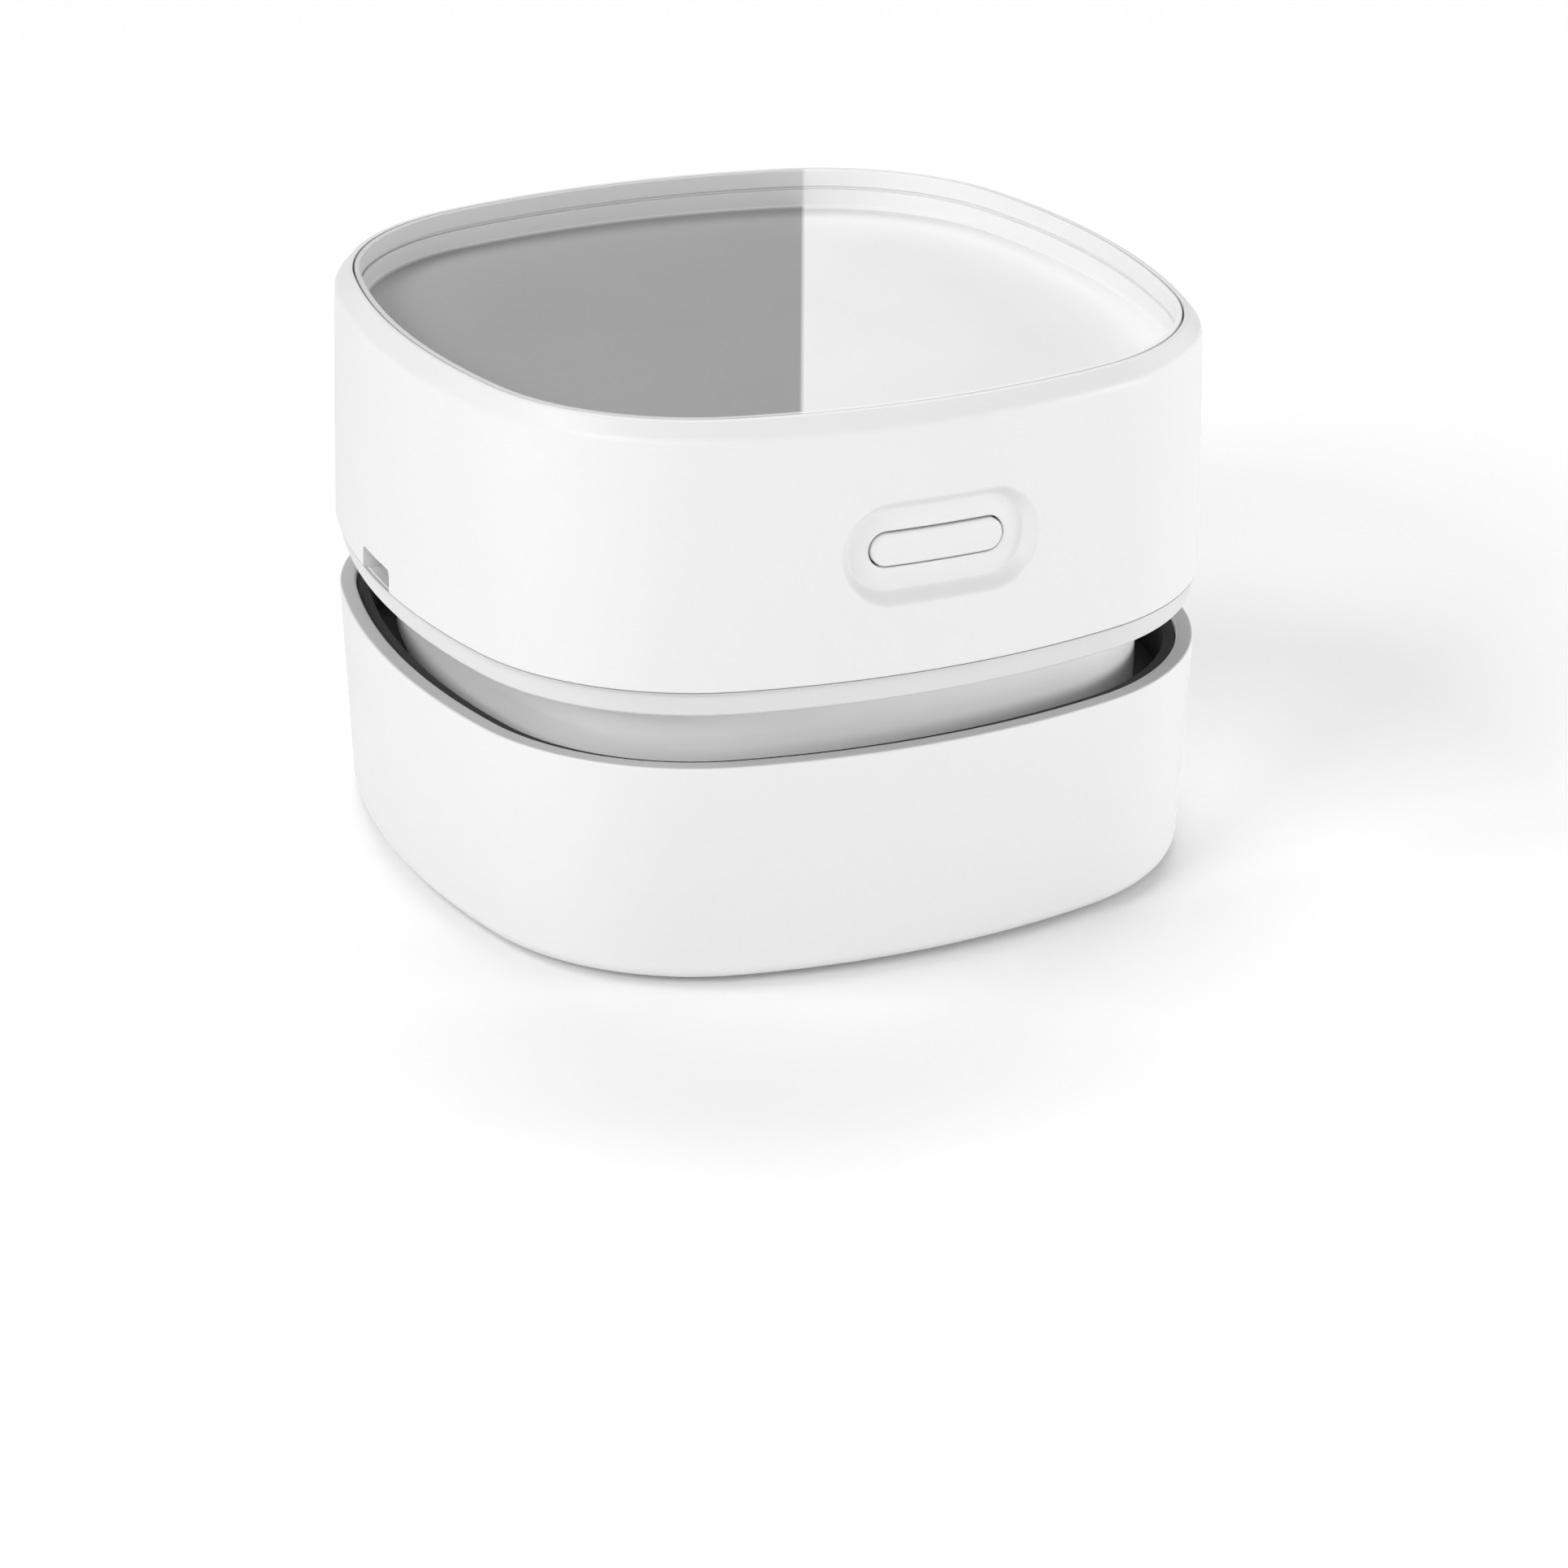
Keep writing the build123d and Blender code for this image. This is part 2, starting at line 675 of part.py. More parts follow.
with BuildPart() as motor_terminals:
    with BuildSketch(Plane.XY.offset(motor_top)):
        with GridLocations(2 * terminal_offset, 0, 2, 1):
            Rectangle(terminal_thickness, terminal_width)
    extrude(amount=terminal_height)
save(motor_terminals.part, "motor_terminals")

mount_top = ring_top + mount_flange_thickness
mount_screw_radius = mount_outer + mount_flange / 2
mount_screw_places = [
    (mount_screw_radius * cos(radians(turn)), mount_screw_radius * sin(radians(turn)))
    for turn in (30, 150, 270)
]
with BuildPart() as motor_mount:
    with BuildSketch(Plane.XY.offset(mount_bottom)):
        Circle(mount_outer)
    extrude(amount=mount_top - mount_bottom)
    with BuildSketch(Plane.XY.offset(ring_top)):
        Circle(mount_outer + mount_flange)
    extrude(amount=mount_flange_thickness)
    with BuildSketch(Plane.XY.offset(motor_bottom)):
        Circle(damper_outer)
    extrude(amount=mount_top - motor_bottom, mode=Mode.SUBTRACT)
    with BuildSketch(Plane.XY.offset(mount_bottom)):
        Circle(bushing_radius)
        with GridLocations(2 * motor_screw_offset, 0, 2, 1):
            Circle(screw_radius)
    extrude(amount=mount_floor, mode=Mode.SUBTRACT)
    with BuildSketch(Plane.XY.offset(mount_bottom)):
        with GridLocations(2 * motor_screw_offset, 0, 2, 1):
            Circle(screw_head_radius)
    extrude(amount=screw_head_height, mode=Mode.SUBTRACT)
    with BuildSketch(Plane.XY.offset(ring_top)):
        with Locations(*mount_screw_places):
            Circle(screw_radius)
    extrude(amount=mount_flange_thickness, mode=Mode.SUBTRACT)
save(motor_mount.part, "motor_mount")

with BuildPart() as motor_damper:
    with BuildSketch(Plane.XY.offset(motor_bottom)):
        Circle(damper_outer)
        Circle(motor_radius, mode=Mode.SUBTRACT)
    extrude(amount=mount_top + damper_stand - motor_bottom)
save(motor_damper.part, "motor_damper")

motor_screw_places = [(-motor_screw_offset, 0), (motor_screw_offset, 0)]
motor_screw_length = mount_floor - screw_head_height + motor_wall
save(screws(motor_screw_places, mount_bottom, motor_screw_length), "motor_screws")
mount_screw_length = mount_flange_thickness + ring_height + deck_boss_depth
mount_screw_head = mount_top + screw_head_height
save(screws(mount_screw_places, mount_screw_head, mount_screw_length, upwards=False), "mount_screws")

# ================================================================ deck
head_inside = head_inset(ring_top) + head_wall
head_rib_end = corner_reach - head_inset(head_top) - head_wall / 2
front_face = -(body_width / 2 - head_inset(dish_centre))
dish_floor = front_face + dish_depth
pad_back = dish_floor + dish_wall
stem_end = pad_back + stack_fit + button_flange + stem_length
switch_front = stem_end + plunger_reach
board_front = switch_front + switch_depth
board_back = board_front + board_thickness
port_centre = ring_top + notch_height / 2
charge_board_bottom = port_centre + port_tall / 2
port_front = -(body_width / 2 - head_inset(port_centre) - head_wall) + port_setback
with BuildPart() as deck:
    with BuildSketch(Plane.XY.offset(ring_bottom)):
        SoftSquare(-ring_outset)
    extrude(amount=ring_height)
    with BuildSketch(Plane.XY.offset(ring_top)):
        SoftSquare(head_inside + nest_fit)
        SoftSquare(head_inside + nest_fit + lip_width, mode=Mode.SUBTRACT)
        with Locations((-body_width / 2, notch_offset)):
            Rectangle(2 * (head_inside + 2 * lip_width), notch_width, mode=Mode.SUBTRACT)
    extrude(amount=lip_height)
    with BuildSketch(Plane.XY.offset(ring_top)):
        with Locations((0, (board_front + board_back) / 2)):
            with GridLocations(board_width + post_size / 2, 0, 2, 1):
                Rectangle(post_size, post_size)
    extrude(amount=post_height)
    with BuildSketch(Plane.XY.offset(ring_top)):
        with Locations((0, (board_front + board_back) / 2)):
            Rectangle(board_width, board_thickness)
    extrude(amount=post_height, mode=Mode.SUBTRACT)
    with BuildSketch(Plane.XY.offset(ring_top)):
        with Locations((0, (board_front + board_back) / 2)):
            with GridLocations(board_width - board_shelf, 0, 2, 1):
                Rectangle(board_shelf, board_thickness)
    extrude(amount=board_lift)
    with BuildSketch(Plane.XY.offset(ring_top)):
        with Locations((port_front + port_length + charge_board_length / 2, notch_offset)):
            with GridLocations(0, charge_board_width - rail_width, 1, 2):
                Rectangle(rail_length, rail_width)
    extrude(amount=charge_board_bottom - ring_top)
    with BuildSketch(Plane.XY.offset(ring_bottom)):
        with Locations(*mount_screw_places):
            Circle(screw_radius + deck_boss_wall)
    extrude(amount=-deck_boss_depth)
    with BuildSketch(Plane.XY.offset(ring_bottom - deck_boss_depth)):
        Circle(mount_outer + nest_fit)
        with Locations(*mount_screw_places, *boss_places):
            Circle(screw_radius)
    extrude(amount=ring_height + deck_boss_depth, mode=Mode.SUBTRACT)
save(deck.part, "deck")

# ================================================================ head shell
with BuildPart() as dish:
    for depth in (-dish_depth, 2 * dish_depth):
        grow = -2 * depth * dish_slope
        with BuildSketch(Plane.XZ.offset(-front_face - depth)):
            with Locations((0, dish_centre)):
                SlotOverall(dish_width + grow, dish_tall + grow)
    loft()
    drafted(
        [(height, head_inset(height) + dish_depth) for height in (ring_top, head_top)], mode=Mode.SUBTRACT
    )

with BuildPart() as upper_shell:
    drafted([(height, head_inset(height)) for height in (ring_top, head_top)])
    fillet(upper_shell.faces().sort_by(Axis.Z)[-1].edges(), head_edge_radius)
    drafted(
        [(height, head_inset(height) + head_wall) for height in (ring_top, head_top)], mode=Mode.SUBTRACT
    )
    with BuildSketch(Plane.XZ.offset(-pad_back)):
        with Locations((0, dish_centre)):
            SlotOverall(dish_width + head_wall, dish_tall + head_wall)
    extrude(amount=head_wall)
    with BuildSketch(Plane.XY.offset(ring_top)):
        with Locations(*boss_places):
            Circle(boss_radius)
        with PolarLocations((boss_reach + head_rib_end) / 2, 4, 45):
            Rectangle(head_rib_end - boss_reach, rib_width)
    extrude(amount=tray_bottom - ring_top)
    with BuildSketch(Plane.XY.offset(ring_top)):
        with Locations(*boss_places):
            Circle(screw_radius)
    extrude(amount=screw_bite + screw_end_room, mode=Mode.SUBTRACT)
    with BuildSketch(Plane.XY.offset(ring_top)):
        SoftSquare(head_inside)
        SoftSquare(head_inside + 2 * nest_fit + lip_width, mode=Mode.SUBTRACT)
    extrude(amount=lip_height + nest_fit, mode=Mode.SUBTRACT)
    add(dish.part, mode=Mode.SUBTRACT)
    dish_edges = upper_shell.edges(Select.LAST)
    fillet(dish_edges.filter_by(lambda edge: edge.center().Y < dish_floor - 0.3 * dish_depth), dish_edge)
    with BuildSketch(Plane.XZ.offset(-pad_back)):
        with Locations((0, dish_centre)):
            SlotOverall(button_width + 2 * button_gap, button_tall + 2 * button_gap)
    extrude(amount=2 * (dish_depth + dish_wall), mode=Mode.SUBTRACT)
    with BuildSketch(Plane.YZ.offset(-body_width)):
        with Locations((notch_offset, ring_top)):
            RectangleRounded(notch_width, 2 * notch_height, notch_radius)
    extrude(amount=body_width / 2 + 2 * head_wall, mode=Mode.SUBTRACT)
save(upper_shell.part, "upper_shell")

tray_outside = head_wall + seam
with BuildPart() as top_tray:
    drafted([(height, head_inset(height) + tray_outside) for height in (tray_bottom, head_top)])
    step_top = head_top - tray_step
    step_bottom = step_top - tray_groove
    rim_inner = head_inset(head_top) + tray_outside + tray_rim
    drafted([(step_bottom, rim_inner + tray_rim_draft), (head_top, rim_inner)], mode=Mode.SUBTRACT)
    drafted(
        [(height, rim_inner - tray_groove_depth) for height in (step_bottom, step_top)], mode=Mode.SUBTRACT
    )
    drafted(
        [(height, rim_inner + tray_shoulder) for height in (tray_floor_top, step_bottom)], mode=Mode.SUBTRACT
    )
    fillet(edges_at(top_tray, tray_floor_top), tray_cove)
save(top_tray.part, "top_tray")

neck_screw_head = neck_boss_bottom - screw_head_height
head_screw_length = neck_boss_height + ring_height + screw_bite
save(screws(boss_places, neck_screw_head, head_screw_length), "head_screws")

# ================================================================ button and switch
with BuildPart() as power_button:
    with BuildSketch(Plane.XZ.offset(-front_face)):
        with Locations((0, dish_centre)):
            SlotOverall(button_width, button_tall)
    extrude(amount=-(pad_back + stack_fit - front_face))
    with BuildSketch(Plane.XZ.offset(-(pad_back + stack_fit))):
        with Locations((0, dish_centre)):
            SlotOverall(button_width + 2 * button_flange_reach, button_tall + 2 * button_flange_reach)
    extrude(amount=-button_flange)
    with BuildSketch(Plane.XZ.offset(-(stem_end - stem_length))):
        with Locations((0, dish_centre)):
            Circle(stem_radius)
    extrude(amount=-stem_length)
    drafted(
        [(height, head_inset(height) + dish_depth - button_proud) for height in (ring_top, head_top)],
        mode=Mode.INTERSECT,
    )
    fillet(power_button.faces().sort_by(Axis.Y)[0].edges(), button_edge)
save(power_button.part, "power_button")

with BuildPart() as switch_plunger:
    with BuildSketch(Plane.XZ.offset(-stem_end)):
        with Locations((0, dish_centre)):
            Circle(plunger_radius)
    extrude(amount=-(plunger_reach + plunger_depth))
save(switch_plunger.part, "switch_plunger")

with BuildPart() as power_switch:
    with BuildSketch(Plane.XZ.offset(-switch_front)):
        with Locations((0, dish_centre)):
            Rectangle(switch_size, switch_size)
    extrude(amount=-switch_depth)
    with BuildSketch(Plane.XZ.offset(-switch_front)):
        with Locations((0, dish_centre)):
            Circle(plunger_radius + stack_fit)
    extrude(amount=-(plunger_depth + button_travel + stack_fit), mode=Mode.SUBTRACT)
save(power_switch.part, "power_switch")

# ================================================================ boards and charging port
board_bottom = ring_top + board_lift
chips = [(-1, 4, 5, 4), (12, 4, 3, 2.4), (-8.5, 12.5, 2.4, 3)]  # across, up the board, width, height
with BuildPart() as control_board:
    with BuildSketch(Plane.XZ.offset(-board_front)):
        with Locations((0, board_bottom + board_height / 2)):
            Rectangle(board_width, board_height)
    extrude(amount=-board_thickness)
save(control_board.part, "control_board")

with BuildPart() as board_chips:
    with BuildSketch(Plane.XZ.offset(-board_back)):
        for across, up, width, height in chips:
            with Locations((across, board_bottom + up)):
                Rectangle(width, height)
    extrude(amount=-chip_height)
save(board_chips.part, "board_chips")

charge_board_middle = port_front + charge_board_setback + charge_board_length / 2
with BuildPart() as charge_board:
    with BuildSketch(Plane.XY.offset(charge_board_bottom)):
        with Locations((charge_board_middle, notch_offset)):
            Rectangle(charge_board_length, charge_board_width)
    extrude(amount=charge_board_thickness)
save(charge_board.part, "charge_board")

with BuildPart() as charge_port:
    with BuildSketch(Plane.YZ.offset(port_front)):
        with Locations((notch_offset, port_centre)):
            RectangleRounded(port_width, port_tall, port_corner)
    extrude(amount=port_length)
    back = charge_port.faces().sort_by(Axis.X)[0]
    offset(amount=-port_wall, openings=back)
save(charge_port.part, "charge_port")

with BuildPart() as port_tongue:
    with BuildSketch(Plane.YZ.offset(port_front + tongue_setback)):
        with Locations((notch_offset, port_centre)):
            Rectangle(tongue_width, tongue_tall)
    extrude(amount=port_length - port_wall - tongue_setback)
save(port_tongue.part, "port_tongue")

# ================================================================ battery
with BuildPart() as battery_cell:
    with BuildSketch(Plane.YZ.offset(-cell_length / 2)):
        with Locations((cell_offset, cell_centre)):
            Circle(cell_radius)
    extrude(amount=cell_length)
    fillet(battery_cell.edges().filter_by(GeomType.CIRCLE), cell_edge)
save(battery_cell.part, "battery_cell")

with BuildPart() as battery_cradle:
    with BuildSketch(Plane.XY.offset(ring_top)):
        with Locations((0, cell_offset)):
            Rectangle(cradle_length, cradle_width)
    extrude(amount=cradle_height)
    with BuildSketch(Plane.YZ.offset(-cell_length / 2)):
        with Locations((cell_offset, cell_centre)):
            Circle(cell_radius)
    extrude(amount=cell_length, mode=Mode.SUBTRACT)
save(battery_cradle.part, "battery_cradle")

contact_height = cell_radius + contact_thickness
upwards = (Align.CENTER, Align.MIN)
with BuildPart() as battery_contacts:
    with BuildSketch(Plane.XZ.offset(-cell_offset - contact_width / 2)):
        with Locations((0, cell_centre)):
            Rectangle(cell_length + 2 * contact_thickness, contact_height, align=upwards)
            Rectangle(cell_length, 2 * cell_radius, mode=Mode.SUBTRACT)
            Rectangle(cell_length - 2 * contact_reach, 2 * contact_height, mode=Mode.SUBTRACT)
    extrude(amount=contact_width)
save(battery_contacts.part, "battery_contacts")

# ================================================================ leads


def lead(points, name):
    """Round lead through the points, with tangent bends."""
    with BuildPart() as wire:
        with BuildLine() as path:
            FilletPolyline(*points, radius=lead_bend)
        with BuildSketch(Plane(origin=path.line @ 0, z_dir=path.line % 0)):
            Circle(lead_radius)
        sweep(path=path.line)
    save(wire.part, name)


contact_top = cell_centre + contact_height
charge_board_top = charge_board_bottom + charge_board_thickness
for colour, step in (("red", 1), ("black", -1)):
    cell_lead_x = step * (cell_length / 2 - contact_reach / 2)
    cell_pad = (step * cell_pad_offset, board_back, board_bottom + cell_pad_lift)
    lead(
        [
            (cell_lead_x, cell_offset, contact_top),
            (cell_lead_x, cell_offset, contact_top + lead_rise),
            (step * cell_lead_turn[0], cell_lead_turn[1], contact_top + lead_rise),
            Vector(*cell_pad) + (0, lead_rise, 0),
            cell_pad,
        ],
        f"battery_lead_{colour}",
    )
    motor_lead_x = step * terminal_offset
    terminal_top = motor_top + terminal_height
    motor_pad = (motor_lead_x, board_back, board_bottom + motor_pad_lift)
    lead(
        [
            (motor_lead_x, 0, terminal_top),
            (motor_lead_x, 0, terminal_top + lead_rise),
            (motor_lead_x, motor_lead_turn, terminal_top + lead_rise),
            Vector(*motor_pad) + (0, lead_rise, 0),
            motor_pad,
        ],
        f"motor_lead_{colour}",
    )
    charge_lead_x = charge_board_middle + charge_board_length / 4 + step * lead_pitch / 2
    charge_lead_y = notch_offset - charge_board_width / 3
    charge_pad_x = step * lead_pitch / 2 - charge_pad_offset
    charge_pad = (charge_pad_x, board_back, board_bottom + charge_pad_lift)
    lead(
        [
            (charge_lead_x, charge_lead_y, charge_board_top),
            (charge_lead_x, charge_lead_y, charge_board_top + lead_rise),
            (charge_lead_turn[0] + step * lead_pitch / 2, charge_lead_turn[1], charge_board_top + lead_rise),
            Vector(*charge_pad) + (0, lead_rise, 0),
            charge_pad,
        ],
        f"charge_lead_{colour}",
    )
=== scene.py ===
"""Looks of a desktop mini vacuum cleaner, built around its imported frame.

Lengths are metres in the frame's own axes: +Z up, the button on the -Y side, the origin on the desk.
"""
import json
import math
import random

import bmesh
import bpy
from bpy.props import FloatProperty, FloatVectorProperty, IntProperty, PointerProperty
from bpy.types import Operator, Panel, PropertyGroup
from mathutils import Matrix, Quaternion, Vector


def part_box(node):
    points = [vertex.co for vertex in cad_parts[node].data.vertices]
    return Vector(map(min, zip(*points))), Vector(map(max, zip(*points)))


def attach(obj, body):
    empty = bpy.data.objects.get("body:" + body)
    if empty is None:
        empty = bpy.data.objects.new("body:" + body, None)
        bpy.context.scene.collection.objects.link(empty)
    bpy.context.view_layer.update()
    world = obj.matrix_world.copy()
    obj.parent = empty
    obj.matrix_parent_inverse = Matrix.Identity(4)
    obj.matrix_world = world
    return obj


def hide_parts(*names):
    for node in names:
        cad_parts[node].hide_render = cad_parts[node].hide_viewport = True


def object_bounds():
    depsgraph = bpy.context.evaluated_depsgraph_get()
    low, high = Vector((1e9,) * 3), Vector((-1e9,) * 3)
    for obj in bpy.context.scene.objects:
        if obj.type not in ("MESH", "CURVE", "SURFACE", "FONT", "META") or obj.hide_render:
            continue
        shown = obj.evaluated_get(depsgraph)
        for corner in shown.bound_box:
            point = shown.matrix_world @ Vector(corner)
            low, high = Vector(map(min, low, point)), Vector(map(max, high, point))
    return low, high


bl_info = {
    "name": "Desktop Mini Vacuum Looks",
    "version": (1, 0, 0),
    "blender": (4, 5, 0),
    "location": "View3D > Sidebar > Vacuum",
    "description": "Shells, tray, button, brushes, filter, finishes and studio of a desktop mini vacuum",
    "category": "Object",
}

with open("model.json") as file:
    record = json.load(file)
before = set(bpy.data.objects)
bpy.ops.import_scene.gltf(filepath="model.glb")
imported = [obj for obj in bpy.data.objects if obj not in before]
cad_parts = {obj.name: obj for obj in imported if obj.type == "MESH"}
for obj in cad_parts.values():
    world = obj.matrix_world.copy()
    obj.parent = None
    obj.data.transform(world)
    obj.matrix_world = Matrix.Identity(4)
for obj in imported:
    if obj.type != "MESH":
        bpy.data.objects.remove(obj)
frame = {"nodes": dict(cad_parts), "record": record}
CAD_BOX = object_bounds()
MM = 0.001

# Heights that the frame gives.
HEAD_LOW, HEAD_HIGH = (corner.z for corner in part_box("upper_shell"))
BASE_LOW, BASE_HIGH = (corner.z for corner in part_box("lower_shell"))
TRAY_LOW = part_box("top_tray")[0].z
BUTTON_MIDDLE = sum(corner.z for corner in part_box("power_button")) / 2

# Steps along a side and round a corner of the soft-square outline.
SIDE_STEPS = 36
CORNER_STEPS = 20

# Steps of the window in the wall that holds the button's dish, and of the ovals inside it. The
# ends of an oval have as many as it takes to match the points round the window.
WINDOW_COLUMNS = 13  # each side of the middle
WINDOW_ROWS = 16
STRAIGHT_STEPS = 14
BEND_STEPS = 2 * WINDOW_COLUMNS + WINDOW_ROWS - STRAIGHT_STEPS

# Steps of the small arcs, and the rings of points between an edge and what lies inside it.
ARC_STEPS = 6
SLOPE_STEPS = 12  # down the dish's slope
LIP_TURNS = (30, 60, 90)  # degrees round the edge of the dish's hole
PANEL_SHARES = (0.3, 0.6, 0.85)  # of the way from the window's edge to the dish
FLOOR_SHARES = (0.35, 0.7, 1.0)  # of the way from the dish's slope to its hole
FACE_SHARES = (0.15, 0.5)  # of the way from the middle of the button's face to its edge


def linear(code):
    """Linear colour of an sRGB hex value."""
    channels = [int(code[place : place + 2], 16) / 255 for place in (0, 2, 4)]
    return (*[c / 12.92 if c <= 0.04045 else ((c + 0.055) / 1.055) ** 2.4 for c in channels], 1.0)


# ================================================================ sizes and colours
class VacuumOutline(PropertyGroup):
    """Plan outline of the body at its top rim."""

    width: FloatProperty(name="Width", description="Across the flats", default=86.0 * MM, unit="LENGTH")
    side_radius: FloatProperty(
        name="Side Radius", description="Radius of the bowed sides", default=88.6 * MM, unit="LENGTH"
    )
    corner_radius: FloatProperty(
        name="Corner Radius", description="Radius of the corners", default=26.6 * MM, unit="LENGTH"
    )


class VacuumHead(PropertyGroup):
    """Upper shell, with the dish round its button and the charging notch."""

    wall: FloatProperty(
        name="Wall", description="Thickness of the shell", default=2.0 * MM, unit="LENGTH"
    )
    draft: FloatProperty(
        name="Draft", description="Lower edge beyond the top rim", default=0.8 * MM, unit="LENGTH"
    )
    bevel_height: FloatProperty(
        name="Bevel Height",
        description="Drop of the bevel round the top",
        default=1.7 * MM,
        unit="LENGTH",
    )
    bevel_width: FloatProperty(
        name="Bevel Width",
        description="Width of the bevel round the top",
        default=1.5 * MM,
        unit="LENGTH",
    )
    bevel_foot: FloatProperty(
        name="Bevel Foot",
        description="Rounding between the bevel and the wall",
        default=1.6 * MM,
        unit="LENGTH",
    )
    bevel_edge: FloatProperty(
        name="Bevel Edge",
        description="Rounding between the bevel and the top",
        default=0.5 * MM,
        unit="LENGTH",
    )
    inner_edge: FloatProperty(
        name="Inner Edge", description="Rounding beside the tray", default=0.12 * MM, unit="LENGTH"
    )
    low_edge: FloatProperty(
        name="Lower Edge", description="Rounding of the lower edge", default=0.25 * MM, unit="LENGTH"
    )
    seam_height: FloatProperty(
        name="Seam Height",
        description="Height of the seam above the ring",
        default=0.16 * MM,
        unit="LENGTH",
    )
    seam_depth: FloatProperty(
        name="Seam Depth",
        description="Depth of the seam above the ring",
        default=0.45 * MM,
        unit="LENGTH",
    )
    # The thin grey band in the seam under the shell's lower edge is painted shade of that seam.
    shade_band: FloatProperty(
        name="Gasket",
        description="Height of the grey gasket in the seam",
        default=0.1 * MM,
        unit="LENGTH",
    )
    shade_band_depth: FloatProperty(
        name="Gasket Depth", description="Gasket in from the wall", default=0.12 * MM, unit="LENGTH"
    )
    ring_drop: FloatProperty(
        name="Ring Drop", description="Rounded edge under the ring", default=0.4 * MM, unit="LENGTH"
    )
    ring_width: FloatProperty(
        name="Ring Width",
        description="Width of the edge under the ring",
        default=0.85 * MM,
        unit="LENGTH",
    )
    window: FloatProperty(
        name="Window",
        description="Height of the wall panel remade round the dish",
        default=18.0 * MM,
        unit="LENGTH",
    )
    dish_width: FloatProperty(
        name="Dish Width", description="Width of the dish at the wall", default=21.8 * MM, unit="LENGTH"
    )
    dish_tall: FloatProperty(
        name="Dish Height", description="Height of the dish at the wall", default=10.8 * MM, unit="LENGTH"
    )
    dish_depth: FloatProperty(
        name="Dish Depth", description="Depth of the dish", default=1.5 * MM, unit="LENGTH"
    )
    dish_slope: FloatProperty(
        name="Dish Slope", description="Width of the dish's sloping wall", default=1.5 * MM, unit="LENGTH"
    )
    pad: FloatProperty(name="Pad", description="Wall behind the dish", default=1.3 * MM, unit="LENGTH")
    pad_margin: FloatProperty(
        name="Pad Margin",
        description="Pad beyond the dish, inside the wall",
        default=0.8 * MM,
        unit="LENGTH",
    )
    notch_offset: FloatProperty(
        name="Notch Offset", description="Charging notch from the middle", default=1.9 * MM, unit="LENGTH"
    )
    notch_width: FloatProperty(
        name="Notch Width", description="Width of the charging notch", default=8.4 * MM, unit="LENGTH"
    )
    notch_tall: FloatProperty(
        name="Notch Height", description="Height of the charging notch", default=2.7 * MM, unit="LENGTH"
    )
    notch_corner: FloatProperty(
        name="Notch Corner",
        description="Rounding of the notch's corners",
        default=0.8 * MM,
        unit="LENGTH",
    )


class VacuumTray(PropertyGroup):
    """Shallow tray let into the head."""

    seam: FloatProperty(name="Seam", description="Gap round the tray", default=0.2 * MM, unit="LENGTH")
    depth: FloatProperty(name="Depth", description="Rim to floor", default=4.4 * MM, unit="LENGTH")
    lip: FloatProperty(name="Lip", description="Width of the rim", default=0.55 * MM, unit="LENGTH")
    lip_edge: FloatProperty(
        name="Lip Edge", description="Rounding of the rim", default=0.15 * MM, unit="LENGTH"
    )
    fine_edge: FloatProperty(
        name="Fine Edge",
        description="Rounding beside the groove and the floor",
        default=0.06 * MM,
        unit="LENGTH",
    )
    groove_drop: FloatProperty(
        name="Groove Drop", description="Rim to the groove", default=1.9 * MM, unit="LENGTH"
    )
    groove_height: FloatProperty(
        name="Groove Height", description="Height of the groove", default=0.35 * MM, unit="LENGTH"
    )
    groove_depth: FloatProperty(
        name="Groove Depth", description="Groove into the wall", default=0.3 * MM, unit="LENGTH"
    )
    shoulder: FloatProperty(
        name="Shoulder", description="Lower wall in from the upper", default=0.15 * MM, unit="LENGTH"
    )
    foot: FloatProperty(
        name="Foot", description="Slope at the floor's edge", default=0.35 * MM, unit="LENGTH"
    )


class VacuumButton(PropertyGroup):
    """Oval power button."""

    width: FloatProperty(name="Width", description="Length of the oval", default=14.6 * MM, unit="LENGTH")
    tall: FloatProperty(name="Height", description="Height of the oval", default=3.4 * MM, unit="LENGTH")
    gap: FloatProperty(name="Gap", description="Gap round the button", default=0.2 * MM, unit="LENGTH")
    proud: FloatProperty(name="Proud", description="Face above the dish", default=0.3 * MM, unit="LENGTH")
    edge: FloatProperty(name="Edge", description="Rounding of the face", default=0.3 * MM, unit="LENGTH")


